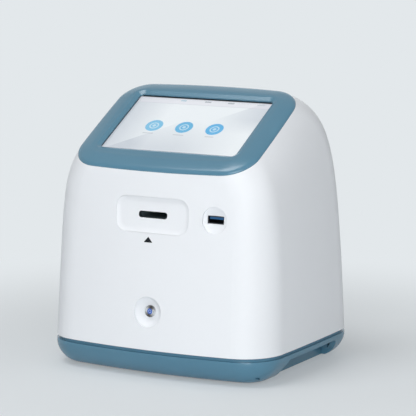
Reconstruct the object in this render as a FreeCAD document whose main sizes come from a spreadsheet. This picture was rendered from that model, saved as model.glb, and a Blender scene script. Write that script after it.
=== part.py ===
"""Automated cell counter: a benchtop instrument that reads a counting slide.

Millimetres and degrees. +X is right as a user faces it, the front is -Y, +Z is up.
The origin is on the table under the middle of the base.
"""
import FreeCAD, Part
import math
import os
import Sketcher

doc = FreeCAD.newDocument("cell_counter")

# Driving dimensions: name, value and what it measures.
DRIVING_SIZES = (
    ("half_width", 105.2, "middle to side of the cover at its lower edge"),
    ("half_depth", 93.0, "middle to front of the cover at its lower edge"),
    ("corner_radius", 35.0, "plan corner at the lower edge"),
    ("side_bulge", 0.86, "how far a side bows out at the lower edge"),
    ("front_bulge", 4.78, "how far front and back bow out at the lower edge"),
    ("seam_height", 24.0, "table to the lower edge of the cover"),
    ("wall", 2.8, "moulded wall of the cover"),
    ("front_pull", 12.1, "set-back of the front curve's control point"),
    ("front_pull_height", 151.9, "height of that control point"),
    ("front_weight", 2.14, "fullness of the front curve"),
    ("back_pull", 16.6, "set-in of the back curve's control point"),
    ("back_pull_height", 210.65, "height of that control point"),
    ("back_weight", 1.81, "fullness of the back curve"),
    ("flank_pull", 3.1, "set-in of the side curve's control point"),
    ("flank_weight", 1.63, "fullness of the side curve"),
    ("screen_tilt", 29.05, "slope of the screen from level"),
    ("rim_half_width", 84.35, "half width of the bezel's outer edge"),
    ("rim_half_length", 61.0, "half length of that edge along the slope"),
    ("rim_corner_radius", 26.45, "corner of that edge"),
    ("rim_side_bulge", 0.4, "bow of its sides"),
    ("rim_front_bulge", 1.75, "bow of its front and back"),
    ("rim_forward", 25.77, "middle of the rim ahead of the origin"),
    ("rim_centre_height", 197.55, "height of the rim's middle"),
    ("foot_proud", 1.5, "gap between table and base"),
    ("foot_radius", 8.0, "rubber foot"),
    ("foot_socket_depth", 1.5, "recess that a foot is glued in"),
    ("foot_side", 66.0, "foot centre from the middle, sideways"),
    ("foot_depth", 50.0, "foot centre from the middle, front to back"),
    ("base_inset", 15.4, "how far the base's underside is set in"),
    ("base_corner_radius", 16.7, "plan corner of the underside"),
    ("base_curve_power", 1.49, "fullness of the base's rounded skirt"),
    ("base_floor", 3.0, "floor of the base"),
    ("groove_height", 3.0, "shadow groove under the cover"),
    ("groove_depth", 2.5, "depth of that groove"),
    ("spigot_height", 3.0, "rim of the base that enters the cover"),
    ("spigot_wall", 2.2, "thickness of that rim"),
    ("snug_gap", 0.3, "clearance of parts that nest"),
    ("fit_gap", 0.05, "radial clearance of shafts and screws"),
    ("grip_inner", 86.5, "finger recess wall from the middle"),
    ("grip_front", 44.5, "front end of the recess"),
    ("grip_back", 53.5, "back end of the recess"),
    ("grip_drop", 7.2, "seam to the roof of the recess"),
    ("grip_slant", 6.5, "slant of the front end, front to back"),
    ("grip_slant_low", 10.0, "table to the foot of that slant"),
    ("grip_heel_low", 6.4, "table to the heel of the back end"),
    ("grip_knee", 5.5, "heel to the knee above it, front to back"),
    ("grip_knee_low", 14.9, "table to that knee"),
    ("grip_end", 10.5, "heel to the end of the roof, front to back"),
    ("grip_wall", 3.0, "wall round the recess"),
    ("pin_hole_radius", 1.3, "small hole low in the right front corner"),
    ("pin_hole_inset", 13.2, "hole in from the side"),
    ("pin_hole_end", 24.5, "inner end of the hole in from the front"),
    ("pin_hole_height", 6.6, "table to the hole"),
    ("post_side", 72.0, "base screw from the middle, sideways"),
    ("post_depth", 68.0, "base screw from the middle, front to back"),
    ("post_radius", 4.5, "screw post"),
    ("post_top", 50.0, "height of the cover's screw posts"),
    ("rib_thickness", 2.5, "rib between a post and the wall"),
    ("screw_radius", 1.5, "shank of the screws"),
    ("screw_head_radius", 3.0, "head of the screws"),
    ("screw_head_height", 2.0, "height of the head"),
    ("window_width", 127.2, "visible screen, across"),
    ("window_height", 77.7, "visible screen, along the slope"),
    ("window_radius", 4.0, "corner of the bezel's window"),
    ("window_bevel", 3.3, "width of the bevel round that window"),
    ("bevel_depth", 1.5, "depth of that bevel"),
    ("window_shift", 2.07, "window up-slope of the rim's middle"),
    ("crown_rise", 4.74, "bezel above its outer edge"),
    ("crown_width", 15.2, "width of the bezel's rolled edge"),
    ("glass_recess", 2.76, "bezel top to glass"),
    ("glass_thickness", 1.8, "touch glass"),
    ("glass_margin", 5.5, "glass beyond the window"),
    ("panel_margin", 3.5, "display beyond the window"),
    ("panel_thickness", 5.0, "display module"),
    ("bracket_thickness", 1.2, "display bracket sheet"),
    ("bracket_post_side", 77.0, "bracket screw from the middle, sideways"),
    ("bracket_post_depth", 30.0, "bracket screw from the middle, along the slope"),
    ("bracket_post_radius", 3.5, "post of a bracket screw"),
    ("peg_radius", 2.0, "locating peg of the bezel"),
    ("peg_length", 4.0, "length of that peg"),
    ("slot_height", 133.2, "table to the middle of the slide slot"),
    ("slot_width", 26.5, "slide slot, across"),
    ("slot_opening", 5.3, "slide slot, height"),
    ("slot_corner", 2.2, "rounded end of the slot"),
    ("recess_width", 68.0, "recess round the slot, across"),
    ("recess_height", 29.4, "recess round the slot, height"),
    ("recess_radius", 10.0, "corner of that recess"),
    ("recess_drop", 0.9, "upright edge of that recess"),
    ("recess_depth", 2.3, "depth of its flat middle"),
    ("recess_slope", 4.7, "width of the curve between them"),
    ("flange_margin", 3.8, "flange of the plate beyond the recess"),
    ("flange_thickness", 2.0, "thickness of that flange"),
    ("flange_seat", 4.3, "cover surface to the flange's seat"),
    ("usb_side", 56.7, "USB socket right of the middle"),
    ("usb_height", 133.1, "table to the middle of the USB socket"),
    ("usb_width", 15.1, "USB cut-out, across"),
    ("usb_opening", 6.5, "USB cut-out, height"),
    ("usb_length", 14.0, "USB socket, front to back"),
    ("usb_sheet", 0.6, "metal of the USB socket"),
    ("usb_dish_radius", 10.9, "round dish of the USB socket"),
    ("usb_dish_drop", 1.0, "upright edge of that dish"),
    ("usb_dish_depth", 3.0, "depth of its middle"),
    ("usb_dish_slope", 7.9, "width of its curve"),
    ("button_height", 54.8, "table to the middle of the power button"),
    ("button_dish_radius", 12.5, "round dish of the power button"),
    ("button_dish_drop", 1.2, "upright edge of that dish"),
    ("button_dish_depth", 5.4, "depth of its flat middle"),
    ("button_dish_slope", 6.5, "width of its curve"),
    ("button_head_radius", 4.9, "metal head of the power button"),
    ("button_head_height", 1.2, "height of that head"),
    ("button_body_radius", 3.95, "threaded body of the power button"),
    ("button_body_length", 14.0, "length of that body"),
    ("button_cap_radius", 3.4, "part that is pressed"),
    ("button_travel", 1.0, "how far it is pressed"),
    ("button_lens_radius", 2.4, "lit middle of the button"),
    ("button_lens_length", 2.0, "depth of the lit middle"),
    ("button_nut_radius", 6.0, "nut across its corners"),
    ("button_nut_height", 2.5, "height of that nut"),
    ("boss_wall", 2.8, "material behind and round a dish"),
    ("frame_half_width", 34.0, "optics frame, half width"),
    ("frame_front", 74.0, "front of the optics frame ahead of the origin"),
    ("frame_back", 4.0, "back of the optics frame ahead of the origin"),
    ("frame_plate", 6.0, "foot plate of the optics frame"),
    ("frame_shelf", 8.0, "shelf of the optics frame"),
    ("frame_column", 7.0, "column of the optics frame"),
    ("frame_pad_height", 3.5, "pads of the base under the frame"),
    ("frame_screw_side", 28.0, "frame screw from the middle"),
    ("frame_screw_front", 68.0, "front frame screws ahead of the origin"),
    ("frame_screw_back", 17.0, "back frame screws ahead of the origin"),
    ("optic_axis", 45.0, "optical axis ahead of the origin"),
    ("channel_floor", 5.55, "floor of the slide channel"),
    ("channel_half_width", 20.0, "slide channel, half width"),
    ("channel_gap", 0.3, "slot plate to the slide channel"),
    ("channel_stop", 12.0, "end of the tunnel ahead of the origin"),
    ("channel_back", 6.0, "back of the slide channel ahead of the origin"),
    ("cover_thickness", 3.0, "lid of the slide channel"),
    ("lever_thickness", 1.2, "strip of the sensing lever"),
    ("lever_width", 4.0, "width of the sensing lever"),
    ("lever_reach", 1.6, "lever's tip inside the tunnel"),
    ("sensor_wall", 1.5, "side walls of the slide sensor"),
    ("light_hole_radius", 6.0, "hole for the light in channel and lid"),
    ("rod_radius", 3.0, "guide rod"),
    ("rod_side", 24.0, "guide rod from the middle"),
    ("screw_axis", 26.0, "lead screw ahead of the origin"),
    ("motor_size", 28.0, "focus motor, square"),
    ("motor_length", 32.0, "focus motor, height"),
    ("carriage_height", 66.0, "table to the carriage's underside at rest"),
    ("carriage_thickness", 16.0, "focus carriage"),
    ("carriage_half_width", 32.0, "focus carriage, half width"),
    ("carriage_front", 58.0, "front of the carriage ahead of the origin"),
    ("carriage_back", 17.0, "back of the carriage ahead of the origin"),
    ("nut_radius", 5.0, "lead nut"),
    ("nut_flange_radius", 8.0, "flange of the lead nut"),
    ("nut_flange", 3.0, "thickness of that flange"),
    ("camera_size", 28.0, "camera housing, square"),
    ("camera_depth", 16.0, "camera housing, height"),
    ("camera_chip", 11.2, "camera sensor, square"),
    ("lens_radius", 4.0, "objective's front lens"),
    ("barrel_radius", 9.0, "objective barrel"),
    ("barrel_length", 38.0, "objective barrel"),
    ("barrel_foot", 22.8, "wide part of the barrel"),
    ("barrel_step", 1.5, "step above that part"),
    ("barrel_nose", 6.0, "tapered end of the barrel"),
    ("barrel_gap", 1.0, "barrel to the hole in the shelf"),
    ("lens_rim", 1.2, "metal round the front lens"),
    ("lens_seat", 0.5, "ledge under the front lens"),
    ("bearing_radius", 6.0, "top bearing of the lead screw"),
    ("bearing_height", 5.0, "height of that bearing"),
    ("lamp_radius", 12.0, "lamp housing"),
    ("lamp_height", 20.0, "lamp housing"),
    ("lamp_bore", 9.0, "bore of the lamp housing"),
    ("lamp_ledge", 2.0, "ledge under the condenser lens"),
    ("condenser_thickness", 4.0, "condenser lens"),
    ("circuit_board", 1.6, "thickness of the circuit boards"),
    ("board_half_width", 75.0, "main board, half width"),
    ("board_front", 8.0, "front of the main board behind the origin"),
    ("board_back", 60.0, "back of the main board behind the origin"),
    ("standoff_height", 7.5, "standoffs of the main board"),
    ("standoff_radius", 3.0, "standoffs of the main board"),
    ("standoff_floor", 1.0, "solid foot of a standoff"),
    ("board_edge", 1.0, "standoff to the board's edge"),
    ("sink_size", 34.0, "heat sink, square"),
    ("sink_height", 14.0, "heat sink with its fins"),
    ("fin_thickness", 1.5, "fin of the heat sink"),
    ("rear_face", 80.0, "rear panel's outer face behind the origin"),
    ("rear_width", 104.0, "rear panel, across"),
    ("rear_height", 66.0, "rear panel, height"),
    ("rear_middle", 67.0, "table to the middle of the rear panel"),
    ("rear_corner", 4.0, "corner of the rear panel"),
    ("rear_sheet", 1.5, "thickness of the rear panel"),
    ("fan_size", 50.0, "fan, square"),
    ("fan_thickness", 15.0, "fan, front to back"),
    ("fan_side", 35.0, "fan's axis from the panel's right edge"),
    ("fan_room", 1.0, "fan to the ledge behind the panel"),
    ("fan_bore", 23.5, "fan's air passage"),
    ("fan_hub_radius", 10.0, "fan's hub"),
    ("blade_radius", 22.5, "fan's blade tips"),
    ("blade_thickness", 1.2, "fan blade"),
    ("root_reach", 5.0, "blade at the hub, half its breadth"),
    ("root_rise", 5.1, "blade at the hub, half its height"),
    ("tip_reach", 5.5, "blade at its tip, half its breadth"),
    ("tip_rise", 3.3, "blade at its tip, half its height"),
    ("vent_slot", 2.6, "height of a vent slot"),
    ("vent_pitch", 5.0, "spacing of the vent slots"),
    ("vent_width", 42.0, "length of a vent slot"),
    ("plug_side", 22.0, "inlet and switch from the panel's left edge"),
    ("inlet_height", 54.0, "table to the middle of the power inlet"),
    ("inlet_radius", 5.5, "power inlet's barrel"),
    ("inlet_bore", 3.2, "power inlet's opening"),
    ("inlet_length", 14.0, "power inlet, front to back"),
    ("inlet_rim", 1.5, "flange of the inlet beyond its barrel"),
    ("inlet_flange", 1.2, "thickness of that flange"),
    ("inlet_pin", 1.0, "centre pin of the inlet"),
    ("switch_height", 80.0, "table to the middle of the rear switch"),
    ("switch_width", 21.0, "switch frame, across"),
    ("switch_tall", 15.0, "switch frame, height"),
    ("rocker_width", 15.0, "switch rocker, across"),
    ("rocker_tall", 10.4, "switch rocker, height"),
    ("rocker_tilt", 9.0, "rocker's lean to either side"),
    ("rocker_axle", 1.0, "rocker's axle inside the panel's face"),
    ("rocker_proud", 3.3, "rocker's ends proud of its axle"),
    ("rocker_dip", 0.4, "hollow of the rocker's face"),
    ("rocker_waist", 1.4, "rocker narrower than its face at the axle"),
    ("rocker_chamfer", 0.6, "rocker's corners"),
)


class Size:
    """A number together with the sheet expression that it comes from."""

    def __init__(self, value, text=None):
        self.value = float(value)
        self.text = text if text else repr(float(value))

    def __add__(self, other):
        other = sized(other)
        return Size(self.value + other.value, "(%s + %s)" % (self.text, other.text))

    def __sub__(self, other):
        other = sized(other)
        return Size(self.value - other.value, "(%s - %s)" % (self.text, other.text))

    def __mul__(self, other):
        other = sized(other)
        return Size(self.value * other.value, "(%s * %s)" % (self.text, other.text))

    def __truediv__(self, other):
        other = sized(other)
        return Size(self.value / other.value, "(%s / %s)" % (self.text, other.text))

    def __radd__(self, other):
        return sized(other) + self

    def __rsub__(self, other):
        return sized(other) - self

    def __rmul__(self, other):
        return sized(other) * self

    def __neg__(self):
        return Size(-self.value, "(0 - %s)" % self.text)


def sized(amount):
    return amount if isinstance(amount, Size) else Size(amount)


def root(amount):
    return Size(math.sqrt(amount.value), "sqrt(%s)" % amount.text)


def sine(angle):
    return Size(math.sin(math.radians(angle.value)), "sin(%s)" % angle.text)


def cosine(angle):
    return Size(math.cos(math.radians(angle.value)), "cos(%s)" % angle.text)


def power(amount, exponent):
    return Size(amount.value ** exponent.value, "(%s ^ %s)" % (amount.text, exponent.text))


def slope(rise, run):
    """Angle in degrees of a line that rises over a run."""
    angle = math.degrees(math.atan(rise.value / run.value))
    return Size(angle, "(atan(%s / %s) / 1deg)" % (rise.text, run.text))


class Named:
    """The driving sizes, read as attributes."""


sheet = doc.addObject("Spreadsheet::Sheet", "Sizes")
size = Named()
for row, (name, amount, meaning) in enumerate(DRIVING_SIZES, start=1):
    sheet.set("A%d" % row, str(amount))
    sheet.setAlias("A%d" % row, name)
    sheet.set("B%d" % row, meaning)
    setattr(size, name, Size(amount, "Sizes." + name))

worked_sheet = doc.addObject("Spreadsheet::Sheet", "Worked")
worked_rows = []


def worked(name, amount):
    """Keeps a size that follows from others in a cell of its own."""
    worked_rows.append(name)
    cell = "A%d" % len(worked_rows)
    worked_sheet.set(cell, "=" + amount.text)
    worked_sheet.setAlias(cell, name)
    return Size(amount.value, "Worked." + name)


def vector(place):
    return FreeCAD.Vector(*[sized(part).value for part in place])


def tie(thing, field, amount):
    thing.setExpression(field, sized(amount).text)


def put(thing, field, place, axis=(0, 0, 1), angle=0):
    """Sets a placement and ties its position and turn to the sheet."""
    turn = FreeCAD.Rotation(FreeCAD.Vector(*axis), sized(angle).value)
    setattr(thing, field, FreeCAD.Placement(vector(place), turn))
    for letter, amount in zip("xyz", place):
        if isinstance(amount, Size):
            tie(thing, "%s.Base.%s" % (field, letter), amount)
    if isinstance(angle, Size):
        tie(thing, field + ".Rotation.Angle", angle)


def measure(sketch, kind, *args):
    """Adds a dimension whose last argument is a size tied to the sheet."""
    *where, amount = args
    index = sketch.addConstraint(Sketcher.Constraint(kind, *where, sized(amount).value))
    if isinstance(amount, Size):
        tie(sketch, "Constraints[%d]" % index, amount)


def draw_circle(sketch, radius, x=0, y=0):
    centre = FreeCAD.Vector(sized(x).value, sized(y).value, 0)
    circle = Part.Circle(centre, FreeCAD.Vector(0, 0, 1), sized(radius).value)
    edge = sketch.addGeometry(circle, False)
    measure(sketch, "DistanceX", -1, 1, edge, 3, x)
    measure(sketch, "DistanceY", -1, 1, edge, 3, y)
    measure(sketch, "Radius", edge, radius)


def draw_polygon(sketch, points):
    corners = [FreeCAD.Vector(sized(x).value, sized(y).value, 0) for x, y in points]
    count = len(points)
    edges = []
    for step in range(count):
        line = Part.LineSegment(corners[step], corners[(step + 1) % count])
        edges.append(sketch.addGeometry(line, False))
    for step in range(count):
        after = edges[(step + 1) % count]
        sketch.addConstraint(Sketcher.Constraint("Coincident", edges[step], 2, after, 1))
        measure(sketch, "DistanceX", -1, 1, edges[step], 1, points[step][0])
        measure(sketch, "DistanceY", -1, 1, edges[step], 1, points[step][1])


def draw_rectangle(sketch, width, height, x=0, y=0):
    half_x = sized(width) / 2
    half_y = sized(height) / 2
    left, right = x - half_x, x + half_x
    low, high = y - half_y, y + half_y
    draw_polygon(sketch, [(left, low), (right, low), (right, high), (left, high)])


def close_tangent(sketch, edges):
    """Joins edges end to end, smoothly, all the way round."""
    for step, edge in enumerate(edges):
        after = edges[(step + 1) % len(edges)]
        sketch.addConstraint(Sketcher.Constraint("Tangent", edge, 2, after, 1))


def add_arc(sketch, centre, radius, start, end):
    """Adds an arc that runs anticlockwise between two angles in radians."""
    circle = Part.Circle(FreeCAD.Vector(*centre), FreeCAD.Vector(0, 0, 1), radius)
    return sketch.addGeometry(Part.ArcOfCircle(circle, start, end), False)


def draw_rounded(sketch, width, height, radius, x=0, y=0):
    """A rectangle with round corners."""
    width, height, radius = sized(width), sized(height), sized(radius)
    reach_x = width / 2 - radius
    reach_y = height / 2 - radius
    quarter = math.pi / 2
    turns = ((1, -1), (1, 1), (-1, 1), (-1, -1))
    edges = []
    arcs = []
    for step, (sign_x, sign_y) in enumerate(turns):
        centre_x = x + reach_x * sign_x
        centre_y = y + reach_y * sign_y
        middle = (centre_x.value, centre_y.value, 0)
        start = (step - 1) * quarter
        arc = add_arc(sketch, middle, radius.value, start, start + quarter)
        next_x = sized(x + reach_x * turns[(step + 1) % 4][0]).value
        next_y = sized(y + reach_y * turns[(step + 1) % 4][1]).value
        off_x = radius.value * math.cos(start + quarter)
        off_y = radius.value * math.sin(start + quarter)
        line = Part.LineSegment(FreeCAD.Vector(middle[0] + off_x, middle[1] + off_y, 0),
                                FreeCAD.Vector(next_x + off_x, next_y + off_y, 0))
        side = sketch.addGeometry(line, False)
        edges += [arc, side]
        arcs.append((arc, centre_x, centre_y))
    close_tangent(sketch, edges)
    for arc, centre_x, centre_y in arcs:
        measure(sketch, "DistanceX", -1, 1, arc, 3, centre_x)
        measure(sketch, "DistanceY", -1, 1, arc, 3, centre_y)
    measure(sketch, "Radius", arcs[0][0], radius)
    for arc, _, _ in arcs[1:]:
        sketch.addConstraint(Sketcher.Constraint("Equal", arcs[0][0], arc))


def bow_radius(half_chord, bulge):
    """Radius of an arc that rises by bulge over half a chord."""
    return (half_chord * half_chord + bulge * bulge) / (bulge * 2)


def draw_bulged(sketch, outline):
    """A rounded rectangle whose four sides bow outwards: eight tangent arcs."""
    half_x, half_y = outline["half_x"], outline["half_y"]
    corner = outline["corner"]
    side = bow_radius(half_y - corner, outline["bulge_x"])
    front = bow_radius(half_x - corner, outline["bulge_y"])
    # The corner's centre lies at a known distance from the centres of both long arcs.
    side_x = half_x.value - side.value
    front_y = half_y.value - front.value
    apart = math.hypot(side_x, front_y)
    reach_side = side.value - corner.value
    reach_front = front.value - corner.value
    along = (apart ** 2 + reach_side ** 2 - reach_front ** 2) / (2 * apart)
    across = math.sqrt(reach_side ** 2 - along ** 2)
    unit = (-side_x / apart, front_y / apart)
    corner_x = side_x + along * unit[0] - across * unit[1]
    corner_y = along * unit[1] + across * unit[0]
    rise = math.atan2(corner_y, corner_x - side_x)
    lean = math.atan2(corner_x, corner_y - front_y)
    quarter = math.pi / 2
    centres = ((0, -front_y), (side_x, 0), (0, front_y), (-side_x, 0))
    edges = []
    for step, (centre_x, centre_y) in enumerate(centres):
        flat = step % 2 == 0
        radius = front.value if flat else side.value
        spread = lean if flat else rise
        next_spread = rise if flat else lean
        middle = (step - 1) * quarter
        edges.append(add_arc(sketch, (centre_x, centre_y, 0), radius,
                             middle - spread, middle + spread))
        sign_x = 1 if step in (0, 1) else -1
        sign_y = 1 if step in (1, 2) else -1
        centre = (corner_x * sign_x, corner_y * sign_y, 0)
        edges.append(add_arc(sketch, centre, corner.value,
                             middle + spread, middle + quarter - next_spread))
    close_tangent(sketch, edges)
    for edge, axis in ((edges[0], -2), (edges[4], -2), (edges[2], -1), (edges[6], -1)):
        sketch.addConstraint(Sketcher.Constraint("PointOnObject", edge, 3, axis))
    measure(sketch, "DistanceY", -1, 1, edges[0], 3, front - half_y)
    measure(sketch, "DistanceY", -1, 1, edges[4], 3, half_y - front)
    measure(sketch, "DistanceX", -1, 1, edges[2], 3, half_x - side)
    measure(sketch, "DistanceX", -1, 1, edges[6], 3, side - half_x)
    measure(sketch, "Radius", edges[0], front)
    measure(sketch, "Radius", edges[2], side)
    measure(sketch, "Radius", edges[1], corner)
    sketch.addConstraint(Sketcher.Constraint("Equal", edges[0], edges[4]))
    sketch.addConstraint(Sketcher.Constraint("Equal", edges[2], edges[6]))
    for step in (3, 5, 7):
        sketch.addConstraint(Sketcher.Constraint("Equal", edges[1], edges[step]))


class Piece:
    """A moulded, milled or turned piece, built up feature by feature."""

    def __init__(self, label):
        self.label = label
        self.body = doc.addObject("PartDesign::Body", label)
        self.steps = 0

    def next_name(self, word):
        self.steps += 1
        return "%s_%s_%d" % (self.label, word, self.steps)

    def plane(self, role):
        planes = [item for item in self.body.Origin.OriginFeatures if item.Role == role]
        return planes[0]

    def sketch(self, place=(0, 0, 0), facing="up", lean=0):
        """A sketch at a place. Facing up leans towards the front, facing front leans back."""
        sketch = self.body.newObject("Sketcher::SketchObject", self.next_name("sketch"))
        role = "YZ_Plane" if facing == "side" else "XY_Plane"
        sketch.AttachmentSupport = [(self.plane(role), "")]
        sketch.MapMode = "FlatFace"
        if facing == "side":
            put(sketch, "AttachmentOffset", (place[1], place[2], place[0]))
        elif facing == "front":
            put(sketch, "AttachmentOffset", place, (1, 0, 0), 90 - lean)
        else:
            put(sketch, "AttachmentOffset", place, (1, 0, 0), lean)
        return sketch

    def feature(self, kind, word, sketch):
        made = self.body.newObject("PartDesign::" + kind, self.next_name(word))
        made.Profile = sketch
        return made

    def extrude(self, kind, word, sketch, length, way):
        made = self.feature(kind, word, sketch)
        made.Length = sized(length).value
        tie(made, "Length", length)
        if way == "both":
            made.SideType = "Symmetric"
        made.Reversed = way == "back"
        return made

    def pad(self, sketch, length, way="out"):
        """Adds material along the sketch's normal, against it, or both ways."""
        return self.extrude("Pad", "pad", sketch, length, way)

    def pocket(self, sketch, length, way="in"):
        """Cuts against the sketch's normal, along it (back), or both ways."""
        return self.extrude("Pocket", "pocket", sketch, length, way)

    def loft(self, sketches, kind="AdditiveLoft"):
        made = self.feature(kind, "loft", sketches[0])
        made.Sections = sketches[1:]
        return made

    def revolve(self, sketch):
        made = self.feature("Revolution", "turned", sketch)
        made.ReferenceAxis = (sketch, ["V_Axis"])
        made.Angle = 360
        return made


pieces = []


def keep(thing, label):
    """Gives a finished piece its own name and puts it on the list that is written."""
    thing.Label = label
    pieces.append(thing)
    return thing


counter = {"simple": 0}


def simple(kind):
    counter["simple"] += 1
    return doc.addObject(kind, "shape_%d" % counter["simple"])


def block(span_x, span_y, span_z):
    """A box between two places on each axis."""
    made = simple("Part::Box")
    spans = (("Length", span_x), ("Width", span_y), ("Height", span_z))
    for field, (low, high) in spans:
        setattr(made, field, sized(high).value - sized(low).value)
        tie(made, field, sized(high) - low)
    put(made, "Placement", (span_x[0], span_y[0], span_z[0]))
    return made


AXIS_TURNS = {"z": ((0, 0, 1), 0), "y": ((-1, 0, 0), 90)}
PAST = 1


def disc(place, radius, length, along="z"):
    """A cylinder that starts at a place and runs along an axis."""
    made = simple("Part::Cylinder")
    made.Radius = sized(radius).value
    made.Height = sized(length).value
    tie(made, "Radius", radius)
    tie(made, "Height", length)
    axis, angle = AXIS_TURNS[along]
    put(made, "Placement", place, axis, angle)
    return made


def bore(place, radius, length, along="z"):
    """A cylinder for a hole through a length: it runs a little past both ends."""
    x, y, z = place
    start = (x, y - PAST, z) if along == "y" else (x, y, z - PAST)
    return disc(start, radius, sized(length) + PAST * 2, along)


def fuse(*things):
    made = simple("Part::MultiFuse")
    made.Shapes = list(things)
    return made


def cut(base, *tools):
    made = simple("Part::Cut")
    made.Base = base
    made.Tool = tools[0] if len(tools) == 1 else fuse(*tools)
    return made


def bundle(*things):
    """Like pieces that stay separate solids."""
    made = simple("Part::Compound")
    made.Links = list(things)
    return made


# Heights and places that several pieces share.
rim_y = -size.rim_forward
rim_rise = worked("rim_rise", size.rim_half_length * sine(size.screen_tilt))
rim_run = worked("rim_run", size.rim_half_length * cosine(size.screen_tilt))
base_top = worked("base_top", size.seam_height - size.groove_height)
floor_top = worked("floor_top", size.foot_proud + size.base_floor)


def conic(start, pull, end, weight, share):
    """A point on a curve from start to end that leans to pull, by a share of the way."""
    near = (1 - share) * (1 - share)
    middle = weight * share * (1 - share) * 2
    far = share * share
    return (start * near + pull * middle + end * far) / (near + middle + far)


def blend(first, last, share):
    return first * (1 - share) + last * share


def front_y(share):
    start = -size.half_depth
    return conic(start, start + size.front_pull, rim_y - rim_run, size.front_weight, share)


def front_z(share):
    end = size.rim_centre_height - rim_rise
    return conic(size.seam_height, size.front_pull_height, end, size.front_weight, share)


def back_y(share):
    start = size.half_depth
    return conic(start, start - size.back_pull, rim_y + rim_run, size.back_weight, share)


def back_z(share):
    end = size.rim_centre_height + rim_rise
    return conic(size.seam_height, size.back_pull_height, end, size.back_weight, share)


def half_x_at(share):
    pull = size.half_width - size.flank_pull
    return conic(size.half_width, pull, size.rim_half_width, size.flank_weight, share)


def cover_section(name, share, inset):
    """One leaning section of the cover: a share of the way from the seam to the rim."""
    share = sized(share)
    run = worked(name + "_run", back_y(share) - front_y(share))
    rise = worked(name + "_rise", back_z(share) - front_z(share))
    return {
        "place": (0, worked(name + "_y", front_y(share) + run / 2),
                  worked(name + "_z", front_z(share) + rise / 2)),
        "lean": worked(name + "_lean", slope(rise, run)),
        "half_x": worked(name + "_half_x", half_x_at(share) - inset),
        "half_y": worked(name + "_half_y", root(run * run + rise * rise) / 2 - inset),
        "bulge_x": blend(size.side_bulge, size.rim_side_bulge, share),
        "bulge_y": blend(size.front_bulge, size.rim_front_bulge, share),
        "corner": blend(size.corner_radius, size.rim_corner_radius, share) - inset,
    }


def rim_point(up_slope, out):
    """A place on the screen's slope, off the rim's middle, and out from the rim's plane."""
    up_slope = sized(up_slope)
    out = sized(out)
    tilt = size.screen_tilt
    return (0, rim_y + up_slope * cosine(tilt) - out * sine(tilt),
            size.rim_centre_height + up_slope * sine(tilt) + out * cosine(tilt))


def seam_outline(inset):
    """The plan of the cover's lower edge, set in by an amount."""
    return {
        "half_x": size.half_width - inset,
        "half_y": size.half_depth - inset,
        "bulge_x": size.side_bulge,
        "bulge_y": size.front_bulge,
        "corner": size.corner_radius - inset,
    }


def rim_outline(inset):
    """The outline of the rim under the bezel, set in by an amount."""
    return {
        "half_x": size.rim_half_width - inset,
        "half_y": size.rim_half_length - inset,
        "bulge_x": size.rim_side_bulge,
        "bulge_y": size.rim_front_bulge,
        "corner": size.rim_corner_radius - inset,
    }


def wall_place(name, height, side=0):
    """Where the front wall stands at a height, how it leans and where it is sideways."""
    low = size.seam_height - height
    pull = size.front_weight * (size.front_pull_height - height)
    high = size.rim_centre_height - rim_rise - height
    share = worked(name + "_share", low / (low - pull - root(pull * pull - low * high)))
    surface = front_y(share)
    if side:
        bulge = blend(size.front_bulge, size.rim_front_bulge, share)
        corner = blend(size.corner_radius, size.rim_corner_radius, share)
        bow = worked(name + "_bow", bow_radius(half_x_at(share) - corner, bulge))
        surface = surface + bow - root(bow * bow - side * side)
    return worked(name + "_front", surface)


slot_y = wall_place("slot", size.slot_height)
above_slot_y = wall_place("above_slot", size.slot_height + size.recess_height / 2)
below_slot_y = wall_place("below_slot", size.slot_height - size.recess_height / 2)
slot_lean = worked("slot_lean", slope(above_slot_y - below_slot_y, size.recess_height))
usb_y = wall_place("usb", size.usb_height, size.usb_side)
usb_floor_y = worked("usb_floor_y", usb_y + size.usb_dish_depth)
button_y = wall_place("button", size.button_height)
button_floor_y = worked("button_floor_y", button_y + size.button_dish_depth)


def sunk(place, lean, depth):
    """A place moved straight into a wall that leans back."""
    x, y, z = place
    return (x, y + depth * cosine(sized(lean)), z - depth * sine(sized(lean)))


def slot_point(depth):
    """A place straight in from the middle of the slot recess."""
    return sunk((0, slot_y, size.slot_height), slot_lean, depth)


SCOOP_STEPS = 4


def scoop(name, piece, place, lean, drop, depth, width, draw):
    """Sinks a dish into a wall: an upright edge, then a curve of a given width, then a flat middle.

    The function draw puts the dish's outline in a sketch, set in by an amount.
    """
    edge = worked(name + "_edge", slope(depth - drop, width) * 2)
    radius = worked(name + "_curve", width / sine(edge))
    mouth = piece.sketch(sunk(place, lean, drop), "front", lean)
    draw(mouth, sized(0))
    piece.pocket(mouth, DEEP, "back")
    levels = []
    for step in range(SCOOP_STEPS + 1):
        turn = edge * (1 - step / SCOOP_STEPS)
        fall = depth - radius * (1 - cosine(turn))
        level = piece.sketch(sunk(place, lean, fall), "front", lean)
        draw(level, width - radius * sine(turn))
        levels.append(level)
    piece.loft(levels, "SubtractiveLoft")


CORNERS = ((1, 1), (-1, 1), (-1, -1), (1, -1))
COVER_SHARES = (0, 0.07, 0.16, 0.27, 0.4, 0.55, 0.7, 0.85, 1)
DEEP = 30
panel_back = worked("panel_back", size.crown_rise - size.glass_recess - size.glass_thickness
                    - size.snug_gap - size.panel_thickness)
rear_seat_y = worked("rear_seat_y", size.rear_face - size.rear_sheet)
rear_ledge_x = worked("rear_ledge_x", size.fan_side - size.fan_size / 2 - size.fan_room)
rear_ledge_z = worked("rear_ledge_z", (size.rear_height - size.fan_size) / 2 - size.fan_room)
fan_x = worked("fan_x", size.rear_width / 2 - size.fan_side)
plug_x = worked("plug_x", size.plug_side - size.rear_width / 2)

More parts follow.
